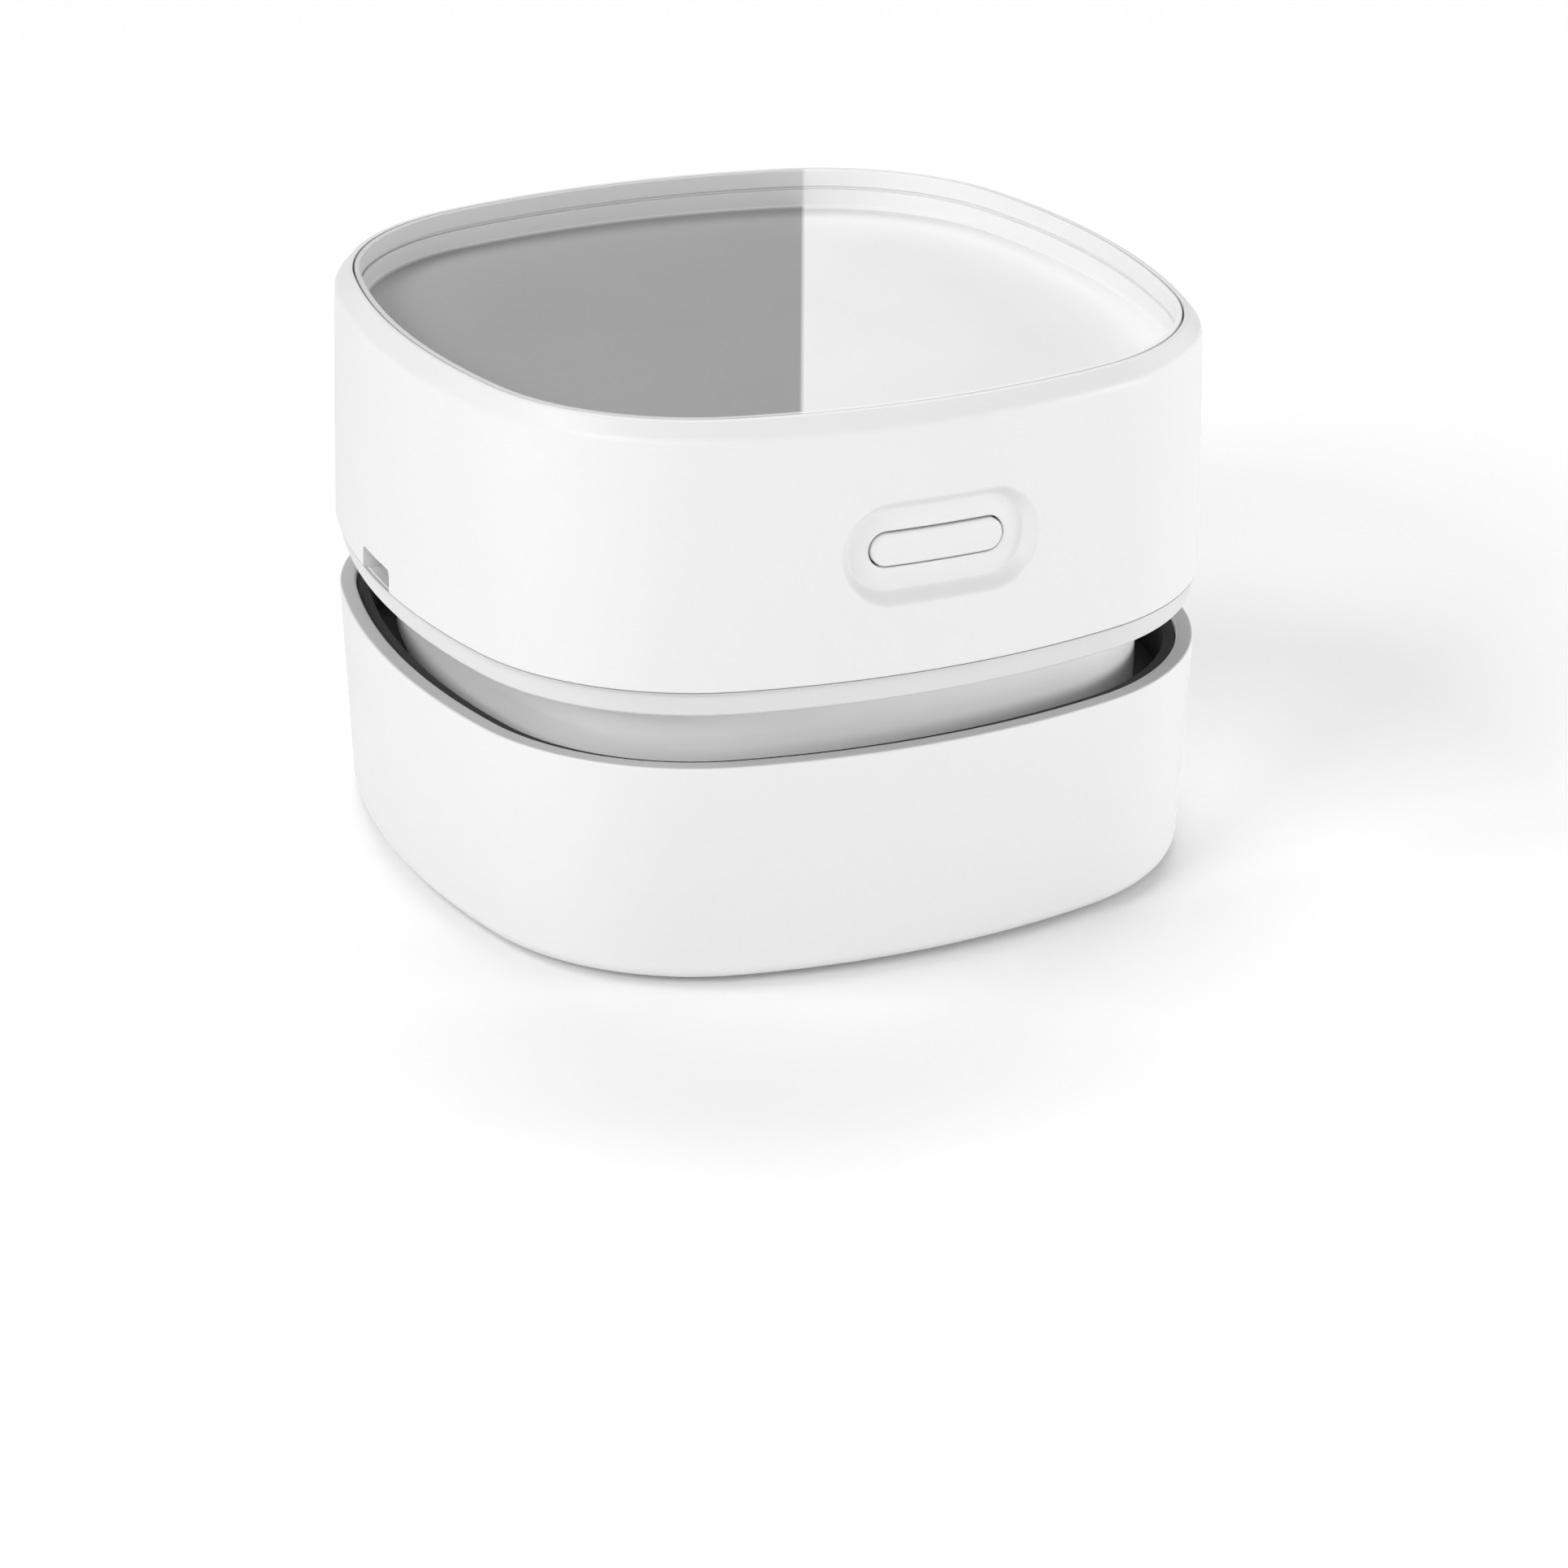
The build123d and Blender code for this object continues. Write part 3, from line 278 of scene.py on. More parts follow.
class VacuumNeck(PropertyGroup):
    """Neck between the head and the dust box."""

    inset: FloatProperty(
        name="Inset", description="Neck in from the outline", default=5.6 * MM, unit="LENGTH"
    )
    wall: FloatProperty(name="Wall", description="Thickness of the neck", default=1.6 * MM, unit="LENGTH")
    roof: FloatProperty(
        name="Roof", description="Thickness under the head", default=0.45 * MM, unit="LENGTH"
    )
    roof_inset: FloatProperty(
        name="Roof Inset", description="Roof in from the outline", default=0.9 * MM, unit="LENGTH"
    )
    flare: FloatProperty(
        name="Flare", description="Rounding under the roof", default=1.3 * MM, unit="LENGTH"
    )
    flange: FloatProperty(
        name="Flange", description="Height of the flange", default=1.6 * MM, unit="LENGTH"
    )
    edge: FloatProperty(
        name="Edge", description="Rounding of the flange and the roof", default=0.15 * MM, unit="LENGTH"
    )
    shelf: FloatProperty(
        name="Shelf", description="Width of the inner shelf", default=1.5 * MM, unit="LENGTH"
    )
    vents: IntProperty(name="Vents", description="Outlets in the +Y wall", default=9, min=1)
    vent_pitch: FloatProperty(
        name="Vent Pitch", description="Spacing of the outlets", default=4.4 * MM, unit="LENGTH"
    )
    vent_width: FloatProperty(
        name="Vent Width", description="Width of an outlet", default=2.2 * MM, unit="LENGTH"
    )
    vent_height: FloatProperty(
        name="Vent Height", description="Height of an outlet", default=4.4 * MM, unit="LENGTH"
    )
    vent_middle: FloatProperty(
        name="Vent Middle",
        description="Outlets' middle above the neck's foot",
        default=6.1 * MM,
        unit="LENGTH",
    )


class VacuumBase(PropertyGroup):
    """Lower shell of the dust box."""

    wall: FloatProperty(
        name="Wall", description="Thickness of the shell", default=1.8 * MM, unit="LENGTH"
    )
    outset: FloatProperty(
        name="Outset", description="Rim beyond the outline", default=0.6 * MM, unit="LENGTH"
    )
    draft: FloatProperty(
        name="Draft", description="Rim beyond the bottom", default=0.9 * MM, unit="LENGTH"
    )
    edge: FloatProperty(
        name="Edge", description="Rounding of the bottom edge", default=1.6 * MM, unit="LENGTH"
    )
    rim_edge: FloatProperty(
        name="Rim Edge", description="Rounding of the rim", default=0.3 * MM, unit="LENGTH"
    )
    floor: FloatProperty(
        name="Floor",
        description="Height of the floor above the bottom edge",
        default=4.2 * MM,
        unit="LENGTH",
    )
    floor_thickness: FloatProperty(
        name="Floor Thickness", description="Thickness of the floor", default=1.5 * MM, unit="LENGTH"
    )
    plate_margin: FloatProperty(
        name="Plate Margin", description="Edge round the base plate", default=4.0 * MM, unit="LENGTH"
    )
    ledge: FloatProperty(
        name="Ledge", description="Floor that shows round the plate", default=8.0 * MM, unit="LENGTH"
    )


class VacuumBrush(PropertyGroup):
    """Rows of bristles beside the intake slot."""

    tufts: IntProperty(name="Tufts", description="Tufts in a row", default=30, min=2)
    tuft_length: FloatProperty(
        name="Tuft Length",
        description="Share of a tuft's pitch that it fills, each way",
        default=0.36,
        subtype="FACTOR",
    )
    tuft_width: FloatProperty(
        name="Tuft Width",
        description="Share of the row's width that a tuft fills",
        default=0.75,
        subtype="FACTOR",
    )
    filaments: IntProperty(name="Filaments", description="Filaments in a tuft", default=14, min=1)
    thickness: FloatProperty(
        name="Filament", description="Thickness of a filament", default=0.16 * MM, unit="LENGTH"
    )
    lean: FloatProperty(name="Lean", description="Spread of the tips", default=0.25 * MM, unit="LENGTH")
    tip: FloatProperty(
        name="Tip", description="Share of the thickness left at the tip", default=0.7, subtype="FACTOR"
    )
    uneven: FloatProperty(
        name="Uneven", description="Most that a filament is cut short", default=0.15 * MM, unit="LENGTH"
    )
    root: FloatProperty(
        name="Root", description="Depth of the roots in the holder", default=0.4 * MM, unit="LENGTH"
    )
    seed: IntProperty(name="Seed", description="Seed of the filaments' places", default=7)


class VacuumFilter(PropertyGroup):
    """Fleece disc of the filter."""

    edge: FloatProperty(
        name="Edge", description="Rounding of the disc's edge", default=0.4 * MM, unit="LENGTH"
    )
    dent: FloatProperty(
        name="Dent", description="Depth of one wave of the dents", default=0.05 * MM, unit="LENGTH"
    )
    columns: IntProperty(name="Columns", description="Points round the disc", default=144, min=8)
    rings: IntProperty(name="Rings", description="Steps across the disc", default=24, min=2)
    seed: IntProperty(name="Seed", description="Seed of the dents' places", default=3)


class VacuumColours(PropertyGroup):
    """Colours of the parts that show."""

    shell: FloatVectorProperty(
        name="Shell", description="Head and base", size=4, subtype="COLOR", default=linear("DFDFDF")
    )
    neck: FloatVectorProperty(
        name="Neck", description="Neck and base plate", size=4, subtype="COLOR", default=linear("F2F2F2")
    )
    tray_white: FloatVectorProperty(
        name="Tray White",
        description="White part of the tray",
        size=4,
        subtype="COLOR",
        default=linear("EAEAEA"),
    )
    # Painted shade on one side of the tray: a darker grey for its floor and a lighter grey for its wall.
    tray_shade_floor: FloatVectorProperty(
        name="Tray Grey",
        description="Grey part of the tray",
        size=4,
        subtype="COLOR",
        default=linear("959595"),
    )
    tray_shade_wall: FloatVectorProperty(
        name="Tray Wall",
        description="Grey part of the tray's wall",
        size=4,
        subtype="COLOR",
        default=linear("C8C8C8"),
    )
    ring: FloatVectorProperty(
        name="Ring",
        description="Ring under the head's shell",
        size=4,
        subtype="COLOR",
        default=linear("D3D3D3"),
    )
    # Painted shade on the top of the base's rim, where the head above it shades it.
    rim: FloatVectorProperty(
        name="Rim", description="Top of the base's rim", size=4, subtype="COLOR", default=linear("BEBEBE")
    )
    cup: FloatVectorProperty(
        name="Cup", description="Dust cup", size=4, subtype="COLOR", default=linear("242427")
    )


class VacuumStage(PropertyGroup):
    """Floor, lights and camera."""

    azimuth: FloatProperty(
        name="Azimuth",
        description="Camera round the object",
        default=math.radians(-24.84),
        subtype="ANGLE",
    )
    elevation: FloatProperty(
        name="Elevation",
        description="Camera above the horizon",
        default=math.radians(24.08),
        subtype="ANGLE",
    )
    roll: FloatProperty(
        name="Roll", description="Camera roll", default=math.radians(0.38), subtype="ANGLE"
    )
    distance: FloatProperty(
        name="Distance", description="Camera to its aim", default=474.1 * MM, unit="LENGTH"
    )
    aim: FloatProperty(
        name="Aim", description="Height that the camera looks at", default=3.23 * MM, unit="LENGTH"
    )
    lens: FloatProperty(name="Lens", description="Focal length in millimetres", default=97.48)
    shift_x: FloatProperty(name="Shift X", description="Sideways shift of the lens", default=0.0159)
    shift_y: FloatProperty(name="Shift Y", description="Upward shift of the lens", default=-0.0027)
    floor_size: FloatProperty(name="Floor", description="Width of the floor", default=6.0, unit="LENGTH")
    sky: FloatProperty(name="Sky", description="Strength of the light from all round", default=0.15)


# ================================================================ outline and mesh helpers
def bow(outline):
    """Centre of a side's arc from the middle."""
    return outline.side_radius - outline.width / 2


def soft_square(outline):
    """(point, outward direction) pairs round the top rim, from one end of the -Y side, anticlockwise."""
    side_centre = bow(outline)
    centres_apart = outline.side_radius - outline.corner_radius
    corner_centre = (math.sqrt(2 * centres_apart**2 - side_centre**2) - side_centre) / 2
    half = math.atan2(corner_centre, corner_centre + side_centre)
    side = Vector((0, side_centre))
    corner = Vector((corner_centre, -corner_centre))
    arcs = (
        (side, outline.side_radius, -half, 2 * half, SIDE_STEPS),
        (corner, outline.corner_radius, half, math.pi / 2 - 2 * half, CORNER_STEPS),
    )
    places = []
    for turn in range(4):
        quarter = Matrix.Rotation(turn * math.pi / 2, 2)
        for centre, radius, start, sweep, steps in arcs:
            for step in range(steps):
                angle = start + sweep * step / steps
                direction = Vector((math.sin(angle), -math.cos(angle)))
                places.append((quarter @ (centre + direction * radius), quarter @ direction))
    return places


def rounded(corners, steps=ARC_STEPS):
    """Closed profile through (inset, height, radius) corners, with an arc where there is a radius."""
    profile = []
    for index, (inset, height, radius) in enumerate(corners):
        corner = Vector((inset, height))
        if not radius:
            profile.append(corner)
            continue
        before = (Vector(corners[index - 1][:2]) - corner).normalized()
        after = (Vector(corners[(index + 1) % len(corners)][:2]) - corner).normalized()
        inside = before.angle(after)
        centre = corner + (before + after).normalized() * radius / math.sin(inside / 2)
        start = corner + before * radius / math.tan(inside / 2) - centre
        end = corner + after * radius / math.tan(inside / 2) - centre
        sweep = math.pi - inside
        for step in range(steps + 1):
            share = step / steps
            arm = start * math.sin((1 - share) * sweep) + end * math.sin(share * sweep)
            profile.append(centre + arm / math.sin(sweep))
    return profile


class Skin:
    """Points and faces of a mesh made of rings with equal counts of points."""

    def __init__(self):
        self.points = []
        self.faces = []

    def ring(self, points):
        """Add a ring and give the numbers of its points."""
        first = len(self.points)
        self.points += [tuple(point) for point in points]
        return list(range(first, len(self.points)))

    def strip(self, one, other, skip=()):
        """Join two rings with faces, apart from the columns to skip."""
        for column in range(len(one)):
            if column not in skip:
                following = (column + 1) % len(one)
                self.faces.append((one[column], one[following], other[following], other[column]))

    def strips(self, rings):
        """Join each ring with the one after it."""
        for one, other in zip(rings, rings[1:]):
            self.strip(one, other)

    def cap(self, ring):
        """Close a ring with one face."""
        self.faces.append(tuple(ring))

    def piece(self, name, slot, body, replaced, finish=None):
        """Make the object, which stands for CAD nodes and rides on a body."""
        mesh = bpy.data.meshes.new(name)
        mesh.from_pydata(self.points, [], self.faces)
        made = bpy.data.objects.new(name, mesh)
        bpy.context.scene.collection.objects.link(made)
        dress(made, slot, finish)
        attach(made, body)
        if replaced:
            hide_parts(*replaced)
        return made


def dress(made, slot, finish=None):
    """Shade a piece and give it the named finish, or else the finish of its slot."""
    shade(made, FINISHES[finish or slot])


def shade(made, finish, crease=math.radians(38)):
    """Clean the mesh's normals, shade it smooth between its creases and give it a finish."""
    mesh = made.data
    work = bmesh.new()
    work.from_mesh(mesh)
    bmesh.ops.recalc_face_normals(work, faces=work.faces)
    work.to_mesh(mesh)
    work.free()
    mesh.shade_smooth()
    mesh.set_sharp_from_angle(angle=crease)
    weighted = made.modifiers.new("face_normals", "WEIGHTED_NORMAL")
    weighted.keep_sharp = True
    mesh.materials.clear()
    mesh.materials.append(finish)


def soft_rings(skin, outline, profile):
    """Rings of the soft-square outline at each (inset, height) of a profile."""
    places = soft_square(outline)
    return [
        skin.ring((*(point - direction * inset), height) for point, direction in places)
        for inset, height in profile
    ]


def pill(half_length, radius):
    """(across, up) points of an oval with straight sides, from the top middle towards +X."""
    half = STRAIGHT_STEPS // 2
    right = [(half_length * step / half, radius) for step in range(half)]
    for step in range(BEND_STEPS):
        angle = math.pi * step / BEND_STEPS
        right.append((half_length + radius * math.sin(angle), radius * math.cos(angle)))
    right += [(half_length * step / half, -radius) for step in range(half, 0, -1)]
    return right + [(-across, -up) for across, up in right]


# ================================================================ finishes
FINISHES = {}

CLOUD = 14 * MM  # width of the clouds of tone and gloss that a mould leaves
MOULDED_GLOSS = (0.9, 1.1)  # least and most of a moulding's roughness, as shares of its middle
PLATED_GLOSS = (0.8, 1.25)  # the same for plated metal
NOISE_LOW, NOISE_HIGH = 0.3, 0.7  # range that a noise pattern mostly keeps to
WAVE_BAND = 0.314  # distance between the bands of a wave pattern at scale 1
MIX_SHARE, MIX_LOW, MIX_HIGH, MIX_RESULT = 0, 6, 7, 2  # sockets of a mix node for colours
FIRST, SECOND = 0, 1  # sockets of a maths node

# The line across the tray where its painted shade, in grey, meets its white.
SHADE_EDGE_DIRECTION = (0.9039, -0.4278, 0.0)  # from the grey part to the white part
SHADE_EDGE_OFFSET = 4.29 * MM
SHADE_EDGE_BLUR = 0.25 * MM

# Heights above the tray's floor between which the painted shade of its floor turns into the lighter
# painted shade of its wall, and depths below the top of the base's rim between which the shell's white
# turns into the painted shade on the rim's top face.
SHADE_FOOT_HEIGHTS = (0.05 * MM, 0.3 * MM)
RIM_SHADE_DEPTHS = (0.12 * MM, 0.02 * MM)


def node(tree, kind, sockets=None, **settings):
    """Add a node: settings are its own, and sockets are values or links by name or place."""
    made = tree.nodes.new(kind)
    for key, value in settings.items():
        setattr(made, key, value)
    for key, value in (sockets or {}).items():
        if isinstance(value, bpy.types.NodeSocket):
            tree.links.new(value, made.inputs[key])
        else:
            made.inputs[key].default_value = value
    return made


def new_finish(slot, name, sockets):
    """Start a finish for a material slot; gives its tree, its shader and the place on the object."""
    material = bpy.data.materials.new(name)
    material.use_nodes = True
    FINISHES[slot] = material
    shader = material.node_tree.nodes["Principled BSDF"]
    for key, value in sockets.items():
        shader.inputs[key].default_value = value
    place = node(material.node_tree, "ShaderNodeTexCoord").outputs["Object"]
    return material.node_tree, shader, place


def relief(tree, shader, place, size, height, detail=2.0):
    """Fine relief with grains of a size; gives its pattern."""
    pattern = node(tree, "ShaderNodeTexNoise", {"Vector": place, "Scale": 1 / size, "Detail": detail})
    raised(tree, shader, pattern.outputs["Fac"], height)
    return pattern.outputs["Fac"]


def raised(tree, shader, pattern, height):
    """Let a pattern raise the surface by up to a height."""
    bump = node(tree, "ShaderNodeBump", {"Height": pattern, "Distance": height, "Strength": 1.0})
    tree.links.new(bump.outputs["Normal"], shader.inputs["Normal"])


def glossed(tree, shader, pattern, roughness, shares):
    """Let a pattern change the roughness between two shares of it."""
    low, high = (roughness * share for share in shares)
    span = {"Value": pattern, "From Min": NOISE_LOW, "From Max": NOISE_HIGH, "To Min": low, "To Max": high}
    changed = node(tree, "ShaderNodeMapRange", span)
    tree.links.new(changed.outputs["Result"], shader.inputs["Roughness"])


def tinted(tree, shader, share, low, high):
    """Let a share from 0 to 1 blend the colour of the surface between two colours."""
    mix = node(tree, "ShaderNodeMix", {MIX_SHARE: share, MIX_LOW: low, MIX_HIGH: high}, data_type="RGBA")
    tree.links.new(mix.outputs[MIX_RESULT], shader.inputs["Base Color"])


def shaded(colour, share):
    """A colour with its light scaled."""
    return (*[channel * share for channel in colour[:3]], 1.0)


def moulded(slot, name, colour, roughness, grain, height, ior=1.53, mottle=0.97):
    """Moulded polymer: colour with a faint mottle, and a satin or matt skin with fine grain."""
    sockets = {"Base Color": colour, "Roughness": roughness, "IOR": ior}
    tree, shader, place = new_finish(slot, name, sockets)
    relief(tree, shader, place, grain, height)
    cloud = node(tree, "ShaderNodeTexNoise", {"Vector": place, "Scale": 1 / CLOUD, "Detail": 3.0})
    glossed(tree, shader, cloud.outputs["Fac"], roughness, MOULDED_GLOSS)
    tinted(tree, shader, cloud.outputs["Fac"], shaded(colour, mottle), colour)
    return tree, shader, place


def plated(slot, name, colour, roughness, scratch, height):
    """Plated or drawn metal: fine relief and small changes of roughness."""
    sockets = {"Base Color": colour, "Metallic": 1.0, "Roughness": roughness}
    tree, shader, place = new_finish(slot, name, sockets)
    pattern = relief(tree, shader, place, scratch, height, detail=4.0)
    glossed(tree, shader, pattern, roughness, PLATED_GLOSS)


def shell_plastics(colours):
    """ABS of the shells, the button, the ring, the neck, the dust cup and the inner carriers."""
    # ABS, moulded, satin: soft broad highlights on a clean white with a faint ripple.
    moulded(
        "shell_white", "abs_moulded_satin_white", tuple(colours.shell),
        roughness=0.46, grain=1.6 * MM, height=0.0015 * MM, mottle=0.985,
    )
    # ABS, moulded, satin: a little smoother than the shell where fingers press it.
    moulded(
        "button_white", "abs_moulded_button_white", tuple(colours.shell),
        roughness=0.42, grain=1.2 * MM, height=0.001 * MM, mottle=0.985,
    )
    # ABS, moulded, satin: the ring is a shade greyer than the shell that stands on it.
    moulded(
        "ring_white", "abs_moulded_satin_pale_grey", tuple(colours.ring),
        roughness=0.38, grain=1.2 * MM, height=0.002 * MM,
    )
    # ABS, moulded, matt: spark grain kills the highlight, so the neck shows only soft shade.
    moulded(
        "neck_white", "abs_moulded_matt_white", tuple(colours.neck),
        roughness=0.55, grain=0.5 * MM, height=0.006 * MM,
    )
    # ABS, moulded, matt charcoal: near black, with the grain only just seen on its edges.
    moulded(
        "cup_charcoal", "abs_moulded_matt_charcoal", tuple(colours.cup),
        roughness=0.8, grain=0.5 * MM, height=0.01 * MM, mottle=0.85,
    )
    # ABS, moulded, matt black: inner carriers that no light reaches.
    moulded(
        "inner_black", "abs_moulded_matt_black", linear("1F1F20"),
        roughness=0.55, grain=0.6 * MM, height=0.01 * MM, mottle=0.85,
    )
    # ABS, moulded, matt grey: the filter's frame, lighter than the cup so that it is found by hand.
    moulded(
        "filter_grey", "abs_moulded_matt_grey", linear("5D5F61"),
        roughness=0.5, grain=0.5 * MM, height=0.01 * MM, mottle=0.9,
    )


def tray_plastic(colours):
    """ABS, moulded, fine matt, white, with painted shade in grey on one side of a straight line across the
    tray, lighter on its wall than on its floor.
    """
    white = tuple(colours.tray_white)
    tree, shader, place = moulded(
        "tray_white", "abs_moulded_matt_white_painted_shade", white,
        roughness=0.5, grain=0.6 * MM, height=0.003 * MM,
    )
    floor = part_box("top_tray")[1].z - bpy.context.scene.vacuum_tray.depth
    height = node(tree, "ShaderNodeSeparateXYZ", {"Vector": place}).outputs["Z"]
    low, high = (floor + rise for rise in SHADE_FOOT_HEIGHTS)
    risen = node(tree, "ShaderNodeMapRange", {"Value": height, "From Min": low, "From Max": high})
    # Painted shade: the floor's grey turns into the wall's lighter grey just above the floor.
    sockets = {
        MIX_SHARE: risen.outputs["Result"],
        MIX_LOW: tuple(colours.tray_shade_floor),
        MIX_HIGH: tuple(colours.tray_shade_wall),
    }
    grey = node(tree, "ShaderNodeMix", sockets, data_type="RGBA")
    # Painted shade on the side of the line away from the white.
    sockets = {FIRST: place, SECOND: SHADE_EDGE_DIRECTION}
    across = node(tree, "ShaderNodeVectorMath", sockets, operation="DOT_PRODUCT")
    sockets = {
        "Value": across.outputs["Value"],
        "From Min": SHADE_EDGE_OFFSET - SHADE_EDGE_BLUR,
        "From Max": SHADE_EDGE_OFFSET + SHADE_EDGE_BLUR,
    }
    side = node(tree, "ShaderNodeMapRange", sockets)
    tinted(tree, shader, side.outputs["Result"], grey.outputs[MIX_RESULT], white)


def rimmed_plastic(colours):
    """ABS, moulded, satin, with painted shade in grey on the top of the rim, under the head."""
    shell = tuple(colours.shell)
    tree, shader, place = moulded(
        "base_white", "abs_moulded_satin_white_painted_rim_shade", shell,
        roughness=0.46, grain=1.6 * MM, height=0.0015 * MM,
    )
    # Painted shade: the top face of the rim turns grey.
    height = node(tree, "ShaderNodeSeparateXYZ", {"Vector": place}).outputs["Z"]
    low, high = (BASE_HIGH - depth for depth in RIM_SHADE_DEPTHS)
    rim_shade = node(tree, "ShaderNodeMapRange", {"Value": height, "From Min": low, "From Max": high})
    tinted(tree, shader, rim_shade.outputs["Result"], shell, tuple(colours.rim))


def engineering_plastics():
    """Nylon and epoxy mouldings."""
    # Nylon, moulded, unpainted black: waxy, with weak highlights.
    moulded(
        "fan_nylon", "nylon_moulded_black", linear("2B2B2C"),
        roughness=0.42, grain=0.8 * MM, height=0.006 * MM, mottle=0.85,
    )
    # Nylon, moulded, dark grey: the bristles' carrier, with a slight gloss on its edges.
    moulded(
        "brush_base", "nylon_moulded_dark_grey", linear("3A3A3B"),
        roughness=0.45, grain=0.5 * MM, height=0.008 * MM, mottle=0.85,
    )
    # Nylon, moulded, natural: ivory, a little waxy.
    moulded(
        "end_cap_nylon", "nylon_moulded_natural", linear("F0EEE2"),
        roughness=0.45, grain=0.7 * MM, height=0.006 * MM,
    )
    # Nylon, moulded, black: the tact switch's case, even and faintly glossy.
    moulded(
        "switch_black", "nylon_moulded_switch_black", linear("252526"),
        roughness=0.4, grain=0.5 * MM, height=0.005 * MM, mottle=0.85,
    )
    # Epoxy, moulded: chips with a dull even face.
    moulded(
        "chip_black", "epoxy_moulded_black", linear("1E1E20"),
        roughness=0.5, grain=0.3 * MM, height=0.006 * MM, mottle=0.85,
    )


def rubbers():
    """Silicone, rubber and PVC."""
    # Silicone, moulded, black: the seal, smooth and faintly oily.
    moulded(
        "seal_rubber", "silicone_moulded_black", linear("1A1A1B"),
        roughness=0.38, grain=0.9 * MM, height=0.006 * MM, ior=1.41,
    )
    # Silicone, moulded, grey: the feet, soft and dull; the same grey on the thin band under the head's
    # shell is painted shade of the seam.
    moulded(
        "foot_rubber", "silicone_moulded_grey", linear("C9C9C8"),
        roughness=0.6, grain=0.5 * MM, height=0.01 * MM, ior=1.41,
    )
    # Rubber, moulded: the sleeve round the motor, dark and dull.
    moulded(
        "damper_rubber", "rubber_moulded_black", linear("242424"),
        roughness=0.7, grain=0.6 * MM, height=0.012 * MM, ior=1.52,
    )
    # PVC, extruded: leads with a smooth, fairly glossy skin.
    for tone, code in (("red", "B3201C"), ("black", "1C1C1C")):
        moulded(
            f"lead_{tone}", f"pvc_extruded_{tone}", linear(code),
            roughness=0.3, grain=1.0 * MM, height=0.003 * MM, mottle=0.9,
        )
    # PVC sleeve, heat-shrunk: a blue skin drawn tight over the cell.
    moulded(
        "cell_sleeve", "pvc_shrunk_blue", linear("2A5FA8"),
        roughness=0.28, grain=2.5 * MM, height=0.02 * MM, mottle=0.9,
    )


def metals():
    """Screws, motor, socket and contacts."""
    # Steel, cold-formed and zinc-plated: bright bluish grey with a fine crystalline bloom.
    plated(
        "screw_steel", "steel_formed_zinc_plated", linear("C4C6C8"),
        roughness=0.32, scratch=0.25 * MM, height=0.004 * MM,
    )
    # Steel, drawn and zinc-plated: the motor's can, smooth and a little bluish.
    plated(
        "motor_steel", "steel_drawn_zinc_plated", linear("BFC1C3"),
        roughness=0.3, scratch=0.6 * MM, height=0.004 * MM,
    )
    # Silicon steel, stamped and stacked, with varnished copper turns between: brownish grey.
    plated(
        "rotor_steel", "steel_stamped_laminations", linear("A98F77"),
        roughness=0.45, scratch=0.4 * MM, height=0.01 * MM,
    )
    # Bronze, sintered: dull yellow with open pores.
    plated(
        "bushing_brass", "bronze_sintered", linear("B99A62"),
        roughness=0.48, scratch=0.3 * MM, height=0.012 * MM,
    )
    # Brass, stamped and left bare: pale yellow with a soft gloss.
    plated(
        "terminal_brass", "brass_stamped", linear("D8C48C"),
        roughness=0.3, scratch=0.4 * MM, height=0.004 * MM,
    )
    # Steel, folded and nickel-plated: the charging socket, a warm mid grey in its notch.
    plated(
        "port_steel", "steel_folded_nickel_plated", linear("B4B2AE"),
        roughness=0.36, scratch=0.5 * MM, height=0.004 * MM,
    )
    # Nickel, rolled to strip and spot-welded: bright, with a warm tone.
    plated(
        "contact_nickel", "nickel_rolled", linear("C9C7C1"),
        roughness=0.28, scratch=0.5 * MM, height=0.004 * MM,
    )
    # Ferrite, sintered: charcoal grey, slightly rough, not metallic to the eye.
    moulded(
        "magnet_ferrite", "ferrite_sintered_grey", linear("3B3B3D"),
        roughness=0.6, grain=0.3 * MM, height=0.012 * MM, mottle=0.8,
    )


def circuit_board():
    """Glass-fibre laminate, pressed, under green solder mask: glossy, with its weave just seen."""
    green = linear("1F6B45")
    sockets = {"Roughness": 0.32, "IOR": 1.55}
    tree, shader, place = new_finish("board_green", "laminate_pressed_green", sockets)
    # The weave's threads of about 0.5 mm are too fine to show, so its bands are drawn this far apart.
    band = 7.536 * MM
    sockets = {"Vector": place, "Scale": WAVE_BAND / band, "Distortion": 0.4}
    weave = node(tree, "ShaderNodeTexWave", sockets, bands_direction="X").outputs["Fac"]
    tinted(tree, shader, weave, shaded(green, share=0.85), green)
    raised(tree, shader, weave, height=0.01 * MM)


def woven(slot, name, colour, thread, roughness):
    """Woven cloth: two sets of threads over and under one another."""
    sockets = {"Roughness": roughness, "Sheen Weight": 0.2, "IOR": 1.53}
    tree, shader, place = new_finish(slot, name, sockets)
    # One band for each thread, and each thread stands a third of its width proud.
    bands = {"Vector": place, "Scale": WAVE_BAND / thread}
    warp = node(tree, "ShaderNodeTexWave", bands, bands_direction="X").outputs["Fac"]
    weft = node(tree, "ShaderNodeTexWave", bands, bands_direction="Y").outputs["Fac"]
    cloth = node(tree, "ShaderNodeMath", {FIRST: warp, SECOND: weft}, operation="MAXIMUM").outputs["Value"]
    tinted(tree, shader, cloth, shaded(colour, share=0.35), colour)
    raised(tree, shader, cloth, height=thread / 3)


